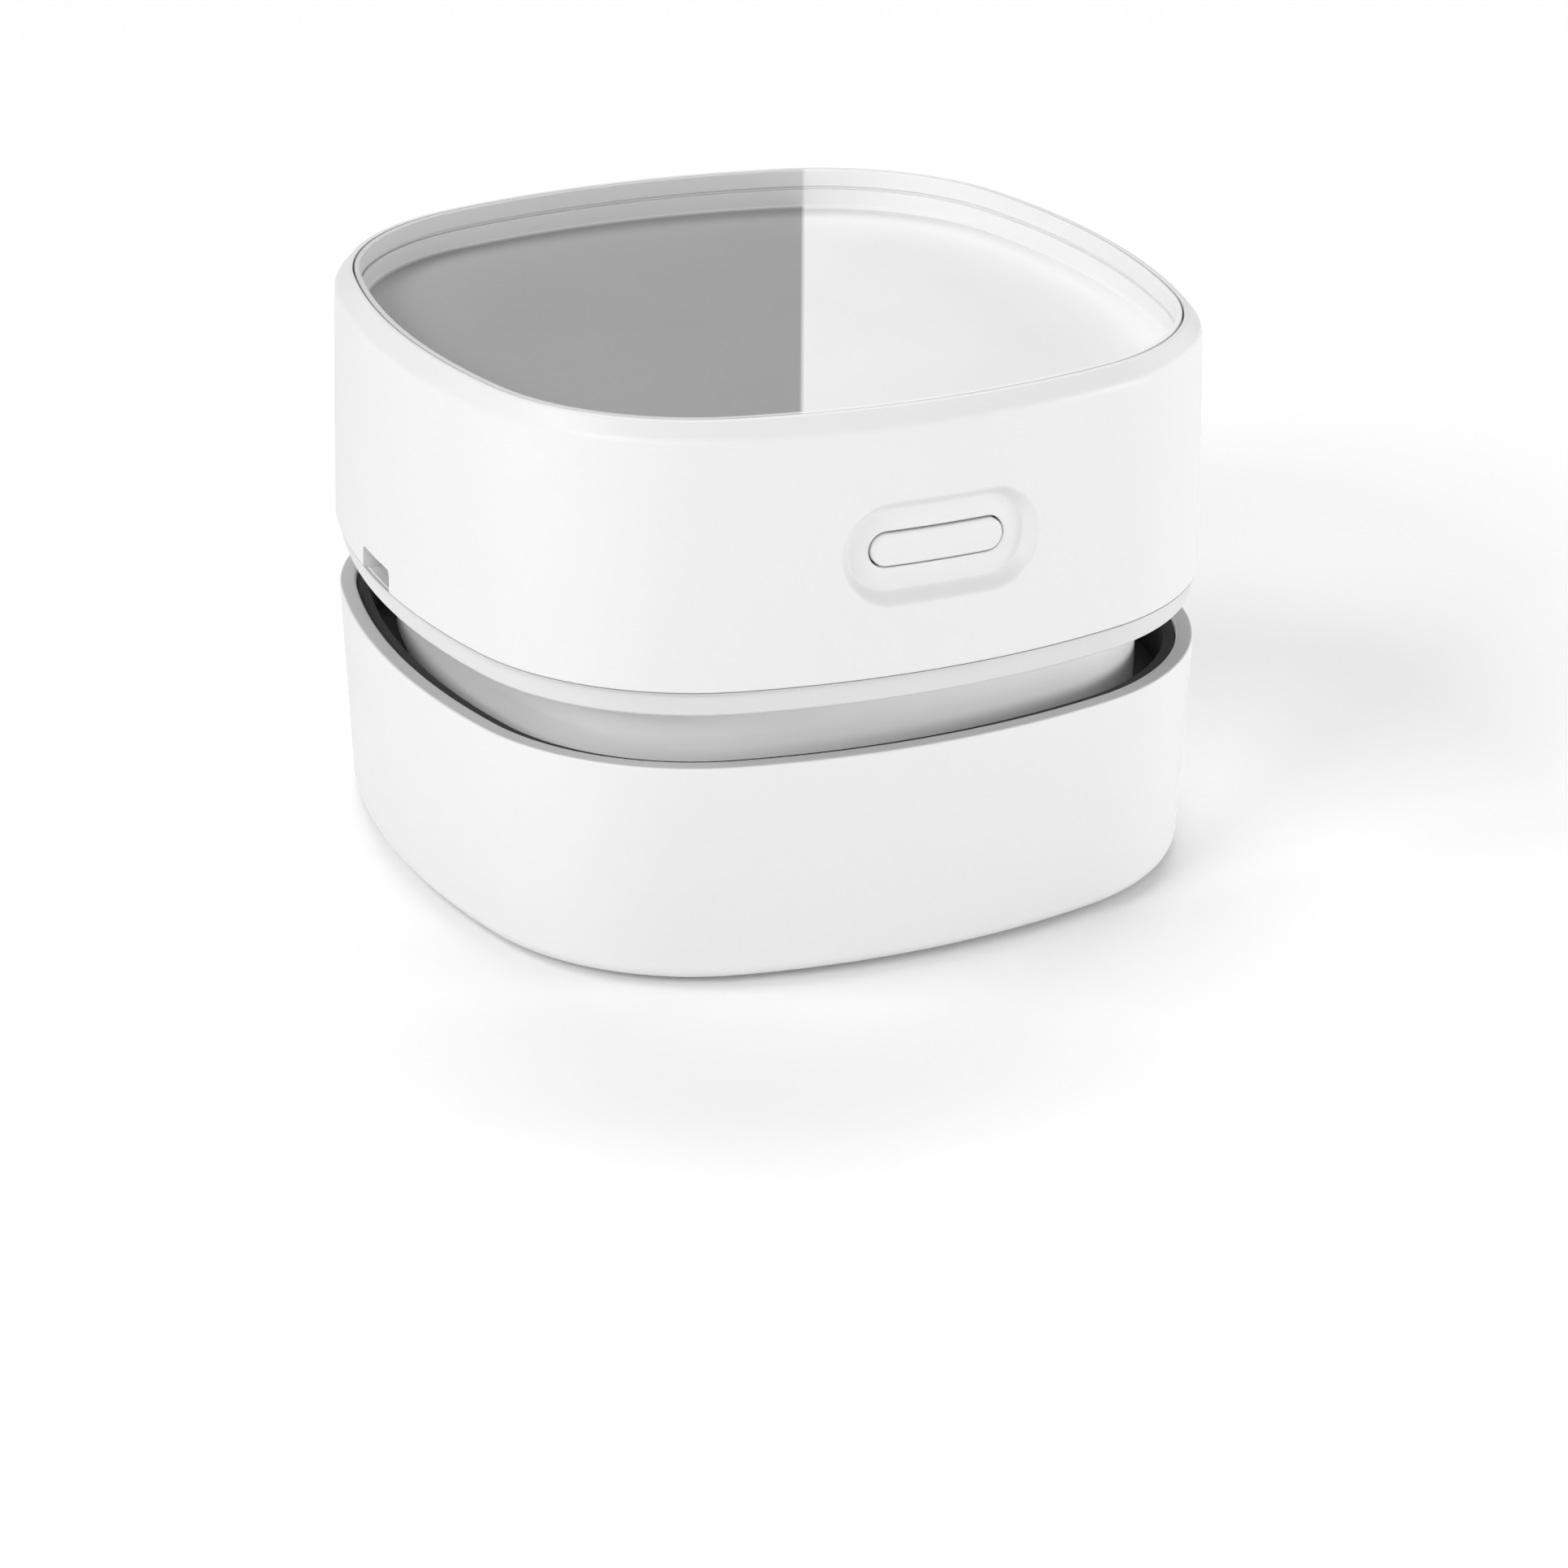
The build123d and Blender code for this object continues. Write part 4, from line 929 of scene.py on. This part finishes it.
def cloths():
    """Nets, tape, fleece and bristles."""
    # Nylon net, woven and heat-set; its thread of 0.3 mm is drawn at twice that, so that it shows.
    woven("filter_net", "nylon_woven_net", linear("C8C8C6"), thread=0.6 * MM, roughness=0.6)
    # Nylon tape, woven: the pull tab, dark and dull, with a fine rib.
    woven("pull_tab", "nylon_woven_tape", linear("48484A"), thread=0.5 * MM, roughness=0.7)
    # Polypropylene fleece, melt-blown: white felt with short loose fibres and no gloss.
    colour = linear("E9E8E3")
    sockets = {"Roughness": 0.95, "Sheen Weight": 0.4, "Sheen Roughness": 0.6, "IOR": 1.49}
    tree, shader, place = new_finish("filter_fleece", "polypropylene_melt_blown", sockets)
    fibre = relief(tree, shader, place, size=0.5 * MM, height=0.12 * MM, detail=6.0)
    tinted(tree, shader, fibre, shaded(colour, share=0.72), colour)
    # Nylon filament, extruded and cut: dark, with a bright line along each bristle.
    colour = linear("3A3A3C")
    sockets = {"Roughness": 0.3, "IOR": 1.53}
    tree, shader, place = new_finish("bristle_nylon", "nylon_extruded_filament", sockets)
    patch = 0.8 * MM  # width of the bristles that share a tone
    tone = node(tree, "ShaderNodeTexNoise", {"Vector": place, "Scale": 1 / patch}).outputs["Fac"]
    tinted(tree, shader, tone, shaded(colour, share=0.6), colour)


class VACUUM_OT_finishes(Operator):
    """Make every finish and cover the CAD pieces with it"""

    bl_idname = "vacuum.finishes"
    bl_label = "Finishes"

    def execute(self, context):
        colours = context.scene.vacuum_colours
        shell_plastics(colours)
        tray_plastic(colours)
        rimmed_plastic(colours)
        engineering_plastics()
        rubbers()
        metals()
        circuit_board()
        cloths()
        for row in frame["record"]["subparts"]:
            # The edge of the deck is the ring that shows under the head.
            finish = "ring_white" if row["node"] == "deck" else row["material_slot"]
            mesh = frame["nodes"][row["node"]].data
            mesh.materials.clear()
            mesh.materials.append(FINISHES[finish])
        return {"FINISHED"}


# ================================================================ head
RING_ROUNDING = 0.9  # share of the ring's drop that is rounded, below an upright part


def head_inset(head, height):
    """Inset of the head's outer wall from the outline of its top rim."""
    return -head.draft * (HEAD_HIGH - height) / (HEAD_HIGH - HEAD_LOW)


def front_wall(outline, head, across, height, depth):
    """Point at a depth behind the outer wall of the head's -Y side."""
    radius = outline.side_radius - head_inset(head, height) - depth
    return Vector((across, bow(outline) - math.sqrt(radius**2 - across**2), height))


def window_loop(rings, top, bottom):
    """Points round the window in the -Y wall, from the middle of its upper edge towards +X."""
    middle = SIDE_STEPS // 2
    left, right = middle - WINDOW_COLUMNS, middle + WINDOW_COLUMNS
    step = 1 if bottom > top else -1
    down = range(top, bottom, step)
    up = range(bottom, top, -step)
    loop = [rings[top][column] for column in range(middle, right)]
    loop += [rings[row][right] for row in down]
    loop += [rings[bottom][column] for column in range(right, left, -1)]
    loop += [rings[row][left] for row in up]
    return loop + [rings[top][column] for column in range(left, middle)]


def dish_stations(head, button):
    """(half length, radius, depth) of each oval, from the wall's face down the dish to its pad."""
    radius = head.dish_tall / 2
    half_length = (head.dish_width - head.dish_tall) / 2
    hole_radius = button.tall / 2 + button.gap
    hole_half = (button.width - button.tall) / 2
    overlap = 0.2 * MM  # the slope starts this far outside the dish's size
    lip = 0.12 * MM  # rounding of the hole's edge
    stations = []
    for step in range(SLOPE_STEPS + 1):
        share = step / SLOPE_STEPS
        fall = share * share * (3 - 2 * share)  # flat at both ends of the slope
        stations.append((half_length, radius + overlap - share * head.dish_slope, fall * head.dish_depth))
    foot = stations[-1][1]
    for share in FLOOR_SHARES:
        across = half_length + (hole_half - half_length) * share
        stations.append((across, foot + (hole_radius + lip - foot) * share, head.dish_depth))
    for angle in LIP_TURNS:
        turn = math.radians(angle)
        sunk = head.dish_depth + lip * (1 - math.cos(turn))
        stations.append((hole_half, hole_radius + lip * (1 - math.sin(turn)), sunk))
    back = head.dish_depth + head.pad
    stations.append((hole_half, hole_radius, back))
    stations.append((half_length, radius + head.pad_margin, back))
    stations.append((half_length, radius + head.pad_margin, head.wall))
    return stations


def nearest(profile, height, start):
    """Place of the profile's point that is nearest to a height, from a place onwards."""
    return min(range(start, len(profile)), key=lambda place: abs(profile[place].y - height))


class VACUUM_OT_head_shell(Operator):
    """Make the head's shell, with its dish, button hole and charging notch"""

    bl_idname = "vacuum.head_shell"
    bl_label = "Head Shell"

    def execute(self, context):
        scene = context.scene
        outline, head, button = scene.vacuum_outline, scene.vacuum_head, scene.vacuum_button
        first = BUTTON_MIDDLE - head.window / 2
        levels = [first + head.window * row / WINDOW_ROWS for row in range(WINDOW_ROWS + 1)]
        low = head_inset(head, HEAD_LOW)
        seam = HEAD_LOW + head.seam_height
        corners = [
            (low + head.seam_depth, HEAD_LOW, 0),
            (low + head.seam_depth, seam, 0),
            (low, seam, head.low_edge),
        ]
        corners += [(head_inset(head, height), height, 0) for height in levels]
        corners += [
            (0.0, HEAD_HIGH - head.bevel_height, head.bevel_foot),
            (head.bevel_width, HEAD_HIGH, head.bevel_edge),
            (head.wall, HEAD_HIGH, head.inner_edge),
        ]
        corners += [(head_inset(head, height) + head.wall, height, 0) for height in reversed(levels)]
        corners += [(low + head.wall, HEAD_LOW, 0)]
        skin = Skin()
        profile = rounded(corners)
        rings = soft_rings(skin, outline, profile)
        outer = nearest(profile, levels[0], 0)
        inner = nearest(profile, levels[-1], outer + WINDOW_ROWS + 1)
        middle = SIDE_STEPS // 2
        window = range(middle - WINDOW_COLUMNS, middle + WINDOW_COLUMNS)
        for row, ring in enumerate(rings):
            in_window = outer <= row < outer + WINDOW_ROWS or inner <= row < inner + WINDOW_ROWS
            skin.strip(ring, rings[(row + 1) % len(rings)], window if in_window else ())
        self.add_dish(skin, rings, outline, head, button, outer, inner)
        shell = skin.piece("head_shell", "shell_white", "head", ["upper_shell"])
        cut_notch(shell, head)
        self.add_shade_band(outline, head, low)
        self.add_ring_edge(outline, head)
        return {"FINISHED"}

    def add_shade_band(self, outline, head, low):
        """Add the thin grey band in the seam between the shell and the ring: painted shade of the seam."""
        front, back = low + head.shade_band_depth, low + head.seam_depth
        top = HEAD_LOW + head.shade_band
        skin = Skin()
        corners = [(front, HEAD_LOW, 0), (front, top, 0), (back, top, 0), (back, HEAD_LOW, 0)]
        rings = soft_rings(skin, outline, rounded(corners))
        skin.strips([*rings, rings[0]])
        skin.piece("seam_shade_band", "foot_rubber", "head", [])

    def add_ring_edge(self, outline, head):
        """Add the rounded edge that turns in under the ring and shades the top of the neck."""
        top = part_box("neck")[1].z
        front = outline.width / 2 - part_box("deck")[1].x
        foot = top - head.ring_drop
        back = front + head.ring_width
        radius = head.ring_drop * RING_ROUNDING
        skin = Skin()
        corners = [(front, top, 0), (front, foot, radius), (back, foot, 0), (back, top, 0)]
        rings = soft_rings(skin, outline, rounded(corners))
        skin.strips([*rings, rings[0]])
        skin.piece("ring_edge", "shell_white", "head", [], finish="ring_white")

    def add_dish(self, skin, rings, outline, head, button, outer, inner):
        """Fill the windows of both faces of the wall with the dish and its pad, joined at the hole."""
        outer_loop = window_loop(rings, outer + WINDOW_ROWS, outer)
        inner_loop = window_loop(rings, inner, inner + WINDOW_ROWS)
        stations = dish_stations(head, button)

        def oval(station):
            half_length, radius, depth = station
            return [
                front_wall(outline, head, across, BUTTON_MIDDLE + up, depth)
                for across, up in pill(half_length, radius)
            ]

        def between(loop, station, share):
            half_length, radius, depth = station
            points = []
            for number, (across, up) in zip(loop, pill(half_length, radius)):
                x, _, z = skin.points[number]
                flat = Vector((x, z)).lerp(Vector((across, BUTTON_MIDDLE + up)), share)
                points.append(front_wall(outline, head, flat.x, flat.y, depth))
            return points

        made = [outer_loop]
        made += [skin.ring(between(outer_loop, stations[0], share)) for share in PANEL_SHARES]
        made += [skin.ring(oval(station)) for station in stations]
        made += [skin.ring(between(inner_loop, stations[-1], share)) for share in reversed(PANEL_SHARES)]
        skin.strips([*made, inner_loop])


def cut_notch(shell, head):
    """Cut the charging notch through the lower edge of the shell's -X wall."""
    half, top, corner = head.notch_width / 2, head.notch_tall, head.notch_corner
    profile = rounded([(-half, -top, 0), (half, -top, 0), (half, top, corner), (-half, top, corner)])
    side = -CAD_BOX[1].x
    ends = (side - head.wall, side + 3 * head.wall)  # from outside the wall to well inside it
    skin = Skin()
    rings = [
        skin.ring((x, head.notch_offset + across, HEAD_LOW + up) for across, up in profile) for x in ends
    ]
    skin.strips(rings)
    for ring in rings:
        skin.cap(ring)
    cut_away(shell, skin)


def cut_away(made, skin):
    """Take a closed skin out of a piece."""
    mesh = bpy.data.meshes.new("cutter")
    mesh.from_pydata(skin.points, [], skin.faces)
    work = bmesh.new()
    work.from_mesh(mesh)
    bmesh.ops.recalc_face_normals(work, faces=work.faces)
    work.to_mesh(mesh)
    work.free()
    cutter = bpy.data.objects.new("cutter", mesh)
    bpy.context.scene.collection.objects.link(cutter)
    finish = made.data.materials[0]
    made.modifiers.clear()
    cut = made.modifiers.new("cut", "BOOLEAN")
    cut.operation = "DIFFERENCE"
    cut.solver = "EXACT"
    cut.object = cutter
    bpy.context.view_layer.update()
    evaluated = made.evaluated_get(bpy.context.evaluated_depsgraph_get())
    made.data = bpy.data.meshes.new_from_object(evaluated)
    made.modifiers.clear()
    bpy.data.objects.remove(cutter)
    shade(made, finish)


# ================================================================ tray
FLOOR_RING = 5.0 * MM  # from the tray's lip to the rings that close the two faces of its floor


class VACUUM_OT_tray(Operator):
    """Make the tray let into the head"""

    bl_idname = "vacuum.tray"
    bl_label = "Tray"

    def execute(self, context):
        scene = context.scene
        outline, head, tray = scene.vacuum_outline, scene.vacuum_head, scene.vacuum_tray
        outside = head.wall + tray.seam
        lip = outside + tray.lip
        groove_top = HEAD_HIGH - tray.groove_drop
        groove_low = groove_top - tray.groove_height
        floor = HEAD_HIGH - tray.depth
        corners = [
            (lip + FLOOR_RING, TRAY_LOW, 0),
            (outside + head_inset(head, TRAY_LOW), TRAY_LOW, 0),
            (outside, HEAD_HIGH, tray.lip_edge),
            (lip, HEAD_HIGH, tray.lip_edge),
            (lip, groove_top, tray.fine_edge),
            (lip - tray.groove_depth, groove_top, 0),
            (lip - tray.groove_depth, groove_low, 0),
            (lip + tray.shoulder, groove_low, tray.fine_edge),
            (lip + tray.shoulder, floor + tray.foot, tray.fine_edge),
            (lip + tray.shoulder + tray.foot, floor, tray.fine_edge),
            (lip + FLOOR_RING, floor, 0),
        ]
        skin = Skin()
        rings = soft_rings(skin, outline, rounded(corners))
        skin.strips(rings)
        skin.cap(rings[0])
        skin.cap(rings[-1])
        skin.piece("tray", "tray_white", "head", ["top_tray"])
        return {"FINISHED"}


# ================================================================ button
class VACUUM_OT_button(Operator):
    """Make the oval power button"""

    bl_idname = "vacuum.button"
    bl_label = "Button"

    def execute(self, context):
        scene = context.scene
        outline, head, button = scene.vacuum_outline, scene.vacuum_head, scene.vacuum_button
        radius = button.tall / 2
        half_length = (button.width - button.tall) / 2
        face = head.dish_depth - button.proud
        stations = [(radius * share, face) for share in FACE_SHARES]
        for step in range(ARC_STEPS + 1):
            turn = math.pi / 2 * step / ARC_STEPS
            sunk = face + button.edge * (1 - math.cos(turn))
            stations.append((radius - button.edge * (1 - math.sin(turn)), sunk))
        stations.append((radius, head.dish_depth + head.pad))
        skin = Skin()
        rings = [
            skin.ring(
                front_wall(outline, head, across, BUTTON_MIDDLE + up, depth)
                for across, up in pill(half_length, width)
            )
            for width, depth in stations
        ]
        skin.strips(rings)
        # Close the face with a band across its straight part and a cap at each end.
        half = STRAIGHT_STEPS // 2
        left = half + BEND_STEPS + STRAIGHT_STEPS  # where the lower straight meets the left end
        count = len(rings[0])
        upper = [rings[0][step % count] for step in range(-half, half + 1)]
        lower = [rings[0][left - step] for step in range(STRAIGHT_STEPS + 1)]
        for step in range(STRAIGHT_STEPS):
            skin.faces.append((upper[step], upper[step + 1], lower[step + 1], lower[step]))
        skin.cap(rings[0][half : half + BEND_STEPS + 1])
        skin.cap(rings[0][left : count - half + 1])
        skin.cap(rings[-1])
        skin.piece("button_cap", "button_white", "button", ["power_button"])
        return {"FINISHED"}


# ================================================================ neck
class VACUUM_OT_neck(Operator):
    """Make the neck, with its flange, its roof under the head and the outlets in its rear wall"""

    bl_idname = "vacuum.neck"
    bl_label = "Neck"

    def execute(self, context):
        scene = context.scene
        outline, neck = scene.vacuum_outline, scene.vacuum_neck
        low, high = (corner.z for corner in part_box("neck"))
        top = low + neck.flange
        points = [vertex.co for vertex in frame["nodes"]["neck"].data.vertices]
        reach = max(point.x for point in points if point.z < top - neck.flange / 2)
        flange = outline.width / 2 - reach
        inside = neck.inset + neck.wall
        corners = [
            (flange, low, neck.edge),
            (flange, top, neck.edge),
            (neck.inset, top, 2 * neck.edge),
            (neck.inset, high - neck.roof, neck.flare),
            (neck.roof_inset, high - neck.roof, neck.edge),
            (neck.roof_inset, high, 0),
            (inside, high, 0),
            (inside, top, 0),
            (inside + neck.shelf, top, 0),
            (inside + neck.shelf, low, neck.edge),
        ]
        skin = Skin()
        rings = soft_rings(skin, outline, rounded(corners))
        skin.strips([*rings, rings[0]])
        made = skin.piece("neck_shell", "neck_white", "head", ["neck"])
        self.cut_vents(made, outline, neck, low)
        return {"FINISHED"}

    def cut_vents(self, made, outline, neck, low):
        """Cut the row of upright outlets through the +Y wall."""
        half_length = (neck.vent_height - neck.vent_width) / 2
        ends = (outline.width / 4, outline.width)  # from inside the neck to outside it
        skin = Skin()
        for vent in range(neck.vents):
            middle = (vent - (neck.vents - 1) / 2) * neck.vent_pitch
            rings = [
                skin.ring(
                    (middle + across, y, low + neck.vent_middle + up)
                    for up, across in pill(half_length, neck.vent_width / 2)
                )
                for y in ends
            ]
            skin.strips(rings)
            skin.cap(rings[0])
            skin.cap(rings[1])
        cut_away(made, skin)


# ================================================================ base
class VACUUM_OT_base_shell(Operator):
    """Make the lower shell of the dust box"""

    bl_idname = "vacuum.base_shell"
    bl_label = "Base Shell"

    def execute(self, context):
        scene = context.scene
        outline, base = scene.vacuum_outline, scene.vacuum_base
        rim = -base.outset
        floor = BASE_LOW + base.floor
        underside = floor - base.floor_thickness

        def wall(height):
            return rim + base.draft * (BASE_HIGH - height) / (BASE_HIGH - BASE_LOW)

        inner_end = base.plate_margin + base.ledge
        corners = [
            (wall(BASE_LOW), BASE_LOW, base.edge),
            (rim, BASE_HIGH, base.rim_edge),
            (rim + base.wall, BASE_HIGH, base.rim_edge),
            (wall(floor) + base.wall, floor, 0),
            (inner_end, floor, 0),
            (inner_end, underside, 0),
            (base.plate_margin, underside, 0),
            (base.plate_margin, BASE_LOW, base.rim_edge),
        ]
        skin = Skin()
        rings = soft_rings(skin, outline, rounded(corners))
        skin.strips([*rings, rings[0]])
        skin.piece("base_shell", "shell_white", "base", ["lower_shell"], finish="base_white")
        return {"FINISHED"}


# ================================================================ brushes
class VACUUM_OT_brushes(Operator):
    """Make the rows of bristles beside the intake slot"""

    bl_idname = "vacuum.brushes"
    bl_label = "Brushes"

    def execute(self, context):
        brush = context.scene.vacuum_brush
        draw = random.Random(brush.seed)
        for side in ("front", "rear"):
            low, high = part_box(f"bristles_{side}")
            pitch = (high.x - low.x) / brush.tufts
            length = pitch * brush.tuft_length
            width = ((high.y - low.y) / 2 - brush.thickness) * brush.tuft_width
            skin = Skin()
            for tuft in range(brush.tufts):
                middle = Vector((low.x + (tuft + 0.5) * pitch, (low.y + high.y) / 2, 0))
                for _ in range(brush.filaments):
                    angle = draw.uniform(0, 2 * math.pi)
                    reach = math.sqrt(draw.random())
                    root = middle + Vector((length * math.cos(angle), width * math.sin(angle), 0)) * reach
                    tip = root + Vector((draw.uniform(-1, 1), draw.uniform(-1, 1), 0)) * brush.lean
                    tip.x = min(max(tip.x, low.x + brush.thickness), high.x - brush.thickness)
                    tip.y = min(max(tip.y, low.y + brush.thickness), high.y - brush.thickness)
                    bottom = low.z + draw.uniform(0, brush.uneven)
                    self.add_filament(skin, brush, root, tip, high.z + brush.root, bottom)
            skin.piece(f"bristle_tufts_{side}", "bristle_nylon", "base", [f"bristles_{side}"])
        return {"FINISHED"}

    def add_filament(self, skin, brush, root, tip, top, bottom):
        """Add one filament from its root down to its tip."""
        radius = brush.thickness / 2
        middle = (root + tip) / 2
        ends = ((root, top, 1.0), (middle, (top + bottom) / 2, 1.0), (tip, bottom, brush.tip))
        rings = [skin.ring(self.square(place, height, share * radius)) for place, height, share in ends]
        skin.strips(rings)
        skin.cap(rings[0])
        skin.cap(rings[-1])

    def square(self, middle, height, radius):
        """Four points round a filament."""
        points = []
        for turn in range(4):
            angle = turn * math.pi / 2
            x, y = middle.x + radius * math.cos(angle), middle.y + radius * math.sin(angle)
            points.append((x, y, height))
        return points


# ================================================================ filter
DENT_WAVES = (3.1 * MM, 2.7 * MM, 5.3 * MM)  # a wave of the dents takes 2 pi of these
FIRST_RING, LAST_RING = 0.04, 0.98  # shares of the radius at the middle and at the edge's rounding


class VACUUM_OT_filter(Operator):
    """Make the filter's fleece disc"""

    bl_idname = "vacuum.filter"
    bl_label = "Filter"

    def execute(self, context):
        disc = context.scene.vacuum_filter
        low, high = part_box("filter_pad")
        radius = (high.x - low.x) / 2
        draw = random.Random(disc.seed)
        phases = [draw.uniform(0, 2 * math.pi) for _ in DENT_WAVES]

        def dented(x, y, height):
            # Waves along X, along Y and between the two.
            waves = zip((x, y, x + y), DENT_WAVES, phases)
            depth = disc.dent * sum(math.sin(way / wave + phase) for way, wave, phase in waves)
            return x, y, height - abs(depth)

        def ring(share, height):
            reach = share * radius
            angles = [2 * math.pi * column / disc.columns for column in range(disc.columns)]
            return [dented(reach * math.cos(angle), reach * math.sin(angle), height) for angle in angles]

        skin = Skin()
        rings = []
        for step in range(disc.rings + 1):
            share = FIRST_RING + (LAST_RING - FIRST_RING) * step / disc.rings
            rings.append(skin.ring(ring(share, high.z)))
        rings.append(skin.ring(ring(1.0, high.z - disc.edge)))
        rings.append(skin.ring(ring(1.0, low.z + disc.edge)))
        rings.append(skin.ring(ring(LAST_RING, low.z + disc.edge / 2)))
        skin.strips(rings)
        skin.cap(rings[0])
        skin.cap(rings[-1])
        fleece = skin.piece("filter_fleece_disc", "filter_fleece", "filter", ["filter_pad"])
        return {"FINISHED"}


# ================================================================ stage
def look_at(made, location, aim, roll=0.0):
    """Place a camera or a light so that it looks at a point."""
    made.location = location
    made.rotation_mode = "QUATERNION"
    made.rotation_quaternion = (aim - location).to_track_quat("-Z", "Y") @ Quaternion((0, 0, 1), roll)


def around(azimuth, elevation, distance):
    """Vector from the middle: azimuth 0 is on the -Y side, and positive goes towards +X."""
    flat = math.cos(elevation) * distance
    return Vector((math.sin(azimuth) * flat, -math.cos(azimuth) * flat, math.sin(elevation) * distance))


# (name, azimuth, elevation, distance, width, height, watts) of each soft box, in degrees and metres.
SOFT_BOXES = (
    ("left_strip", -105, 9, 1.0, 0.4, 0.24, 0.5),
    ("front_strip", 15, 9, 1.0, 0.4, 0.24, 0.86),
    ("right_strip", 55, 9, 1.0, 0.4, 0.24, 3.5),
    ("far_right_strip", 95, 9, 1.0, 0.4, 0.24, 2.2),
    ("left_box", -65, 30, 1.0, 0.4, 0.3, 3.7),
    ("middle_box", -25, 30, 1.0, 0.4, 0.3, 1.9),
    ("high_left_box", -100, 47, 1.0, 0.4, 0.3, 2.7),
    ("back_box", 155, 55, 1.1, 0.9, 0.5, 6.15),
)
SENSOR_WIDTH = 36.0  # millimetres


class VACUUM_OT_stage(Operator):
    """Make the floor, the soft lights and the camera"""

    bl_idname = "vacuum.stage"
    bl_label = "Stage"

    def execute(self, context):
        scene = context.scene
        stage = scene.vacuum_stage
        self.add_camera(scene, stage)
        self.add_lights(scene, stage)
        self.add_floor(scene, stage)
        scene.view_settings.view_transform = "Standard"
        return {"FINISHED"}

    def add_camera(self, scene, stage):
        """Add the camera, which looks at the object's axis from its angles round and above it."""
        lens = bpy.data.cameras.new("camera")
        camera = bpy.data.objects.new("camera", lens)
        scene.collection.objects.link(camera)
        aim = Vector((0, 0, stage.aim))
        look_at(camera, aim + around(stage.azimuth, stage.elevation, stage.distance), aim, stage.roll)
        lens.sensor_width = SENSOR_WIDTH
        lens.lens = stage.lens
        lens.shift_x = stage.shift_x
        lens.shift_y = stage.shift_y
        scene.camera = camera

    def add_lights(self, scene, stage):
        """Add the soft boxes and the even light from all round."""
        aim = Vector((0, 0, HEAD_LOW))
        for name, azimuth, elevation, distance, width, height, watts in SOFT_BOXES:
            light = bpy.data.lights.new(name, "AREA")
            light.shape = "RECTANGLE"
            light.size = width
            light.size_y = height
            light.energy = watts
            made = bpy.data.objects.new(name, light)
            scene.collection.objects.link(made)
            look_at(made, aim + around(math.radians(azimuth), math.radians(elevation), distance), aim)
        world = bpy.data.worlds.new("studio")
        world.use_nodes = True
        sky = world.node_tree.nodes["Background"]
        sky.inputs["Color"].default_value = (1.0, 1.0, 1.0, 1.0)
        sky.inputs["Strength"].default_value = stage.sky
        scene.world = world

    def add_floor(self, scene, stage):
        """Add the flat sheet that the object stands on."""
        # Paper, rolled, matt: pale and even, with a faint tooth.
        sockets = {"Base Color": linear("FCFCFC"), "Roughness": 0.9, "Specular IOR Level": 0.2}
        tree, shader, place = new_finish("floor", "paper_rolled_matt", sockets)
        relief(tree, shader, place, size=1.5 * MM, height=0.01 * MM)
        half = stage.floor_size / 2
        corners = [(-half, -half, 0), (half, -half, 0), (half, half, 0), (-half, half, 0)]
        mesh = bpy.data.meshes.new("floor")
        mesh.from_pydata(corners, [], [(0, 1, 2, 3)])
        mesh.materials.append(FINISHES["floor"])
        floor = bpy.data.objects.new("floor", mesh)
        scene.collection.objects.link(floor)


# ================================================================ add-on
GROUPS = {
    "vacuum_outline": VacuumOutline,
    "vacuum_head": VacuumHead,
    "vacuum_tray": VacuumTray,
    "vacuum_button": VacuumButton,
    "vacuum_neck": VacuumNeck,
    "vacuum_base": VacuumBase,
    "vacuum_brush": VacuumBrush,
    "vacuum_filter": VacuumFilter,
    "vacuum_colours": VacuumColours,
    "vacuum_stage": VacuumStage,
}
OPERATORS = (
    VACUUM_OT_finishes,
    VACUUM_OT_head_shell,
    VACUUM_OT_tray,
    VACUUM_OT_button,
    VACUUM_OT_neck,
    VACUUM_OT_base_shell,
    VACUUM_OT_brushes,
    VACUUM_OT_filter,
    VACUUM_OT_stage,
)


class VACUUM_PT_pieces(Panel):
    """Lists the pieces in the order they are made"""

    bl_idname = "VACUUM_PT_pieces"
    bl_label = "Desktop Vacuum"
    bl_space_type = "VIEW_3D"
    bl_region_type = "UI"
    bl_category = "Vacuum"

    def draw(self, context):
        for operator in OPERATORS:
            self.layout.operator(operator.bl_idname)
        for name in GROUPS:
            column = self.layout.column(heading=name)
            group = getattr(context.scene, name)
            for key in group.bl_rna.properties.keys():
                if key not in ("rna_type", "name"):
                    column.prop(group, key)


def register():
    for group in GROUPS.values():
        bpy.utils.register_class(group)
    for name, group in GROUPS.items():
        setattr(bpy.types.Scene, name, PointerProperty(type=group))
    for operator in OPERATORS:
        bpy.utils.register_class(operator)
    bpy.utils.register_class(VACUUM_PT_pieces)


def unregister():
    bpy.utils.unregister_class(VACUUM_PT_pieces)
    for operator in reversed(OPERATORS):
        bpy.utils.unregister_class(operator)
    for name in GROUPS:
        delattr(bpy.types.Scene, name)
    for group in reversed(GROUPS.values()):
        bpy.utils.unregister_class(group)


def main():
    register()
    for operator in OPERATORS:
        group, name = operator.bl_idname.split(".")
        getattr(getattr(bpy.ops, group), name)()


if __name__ == "__main__":
    main()
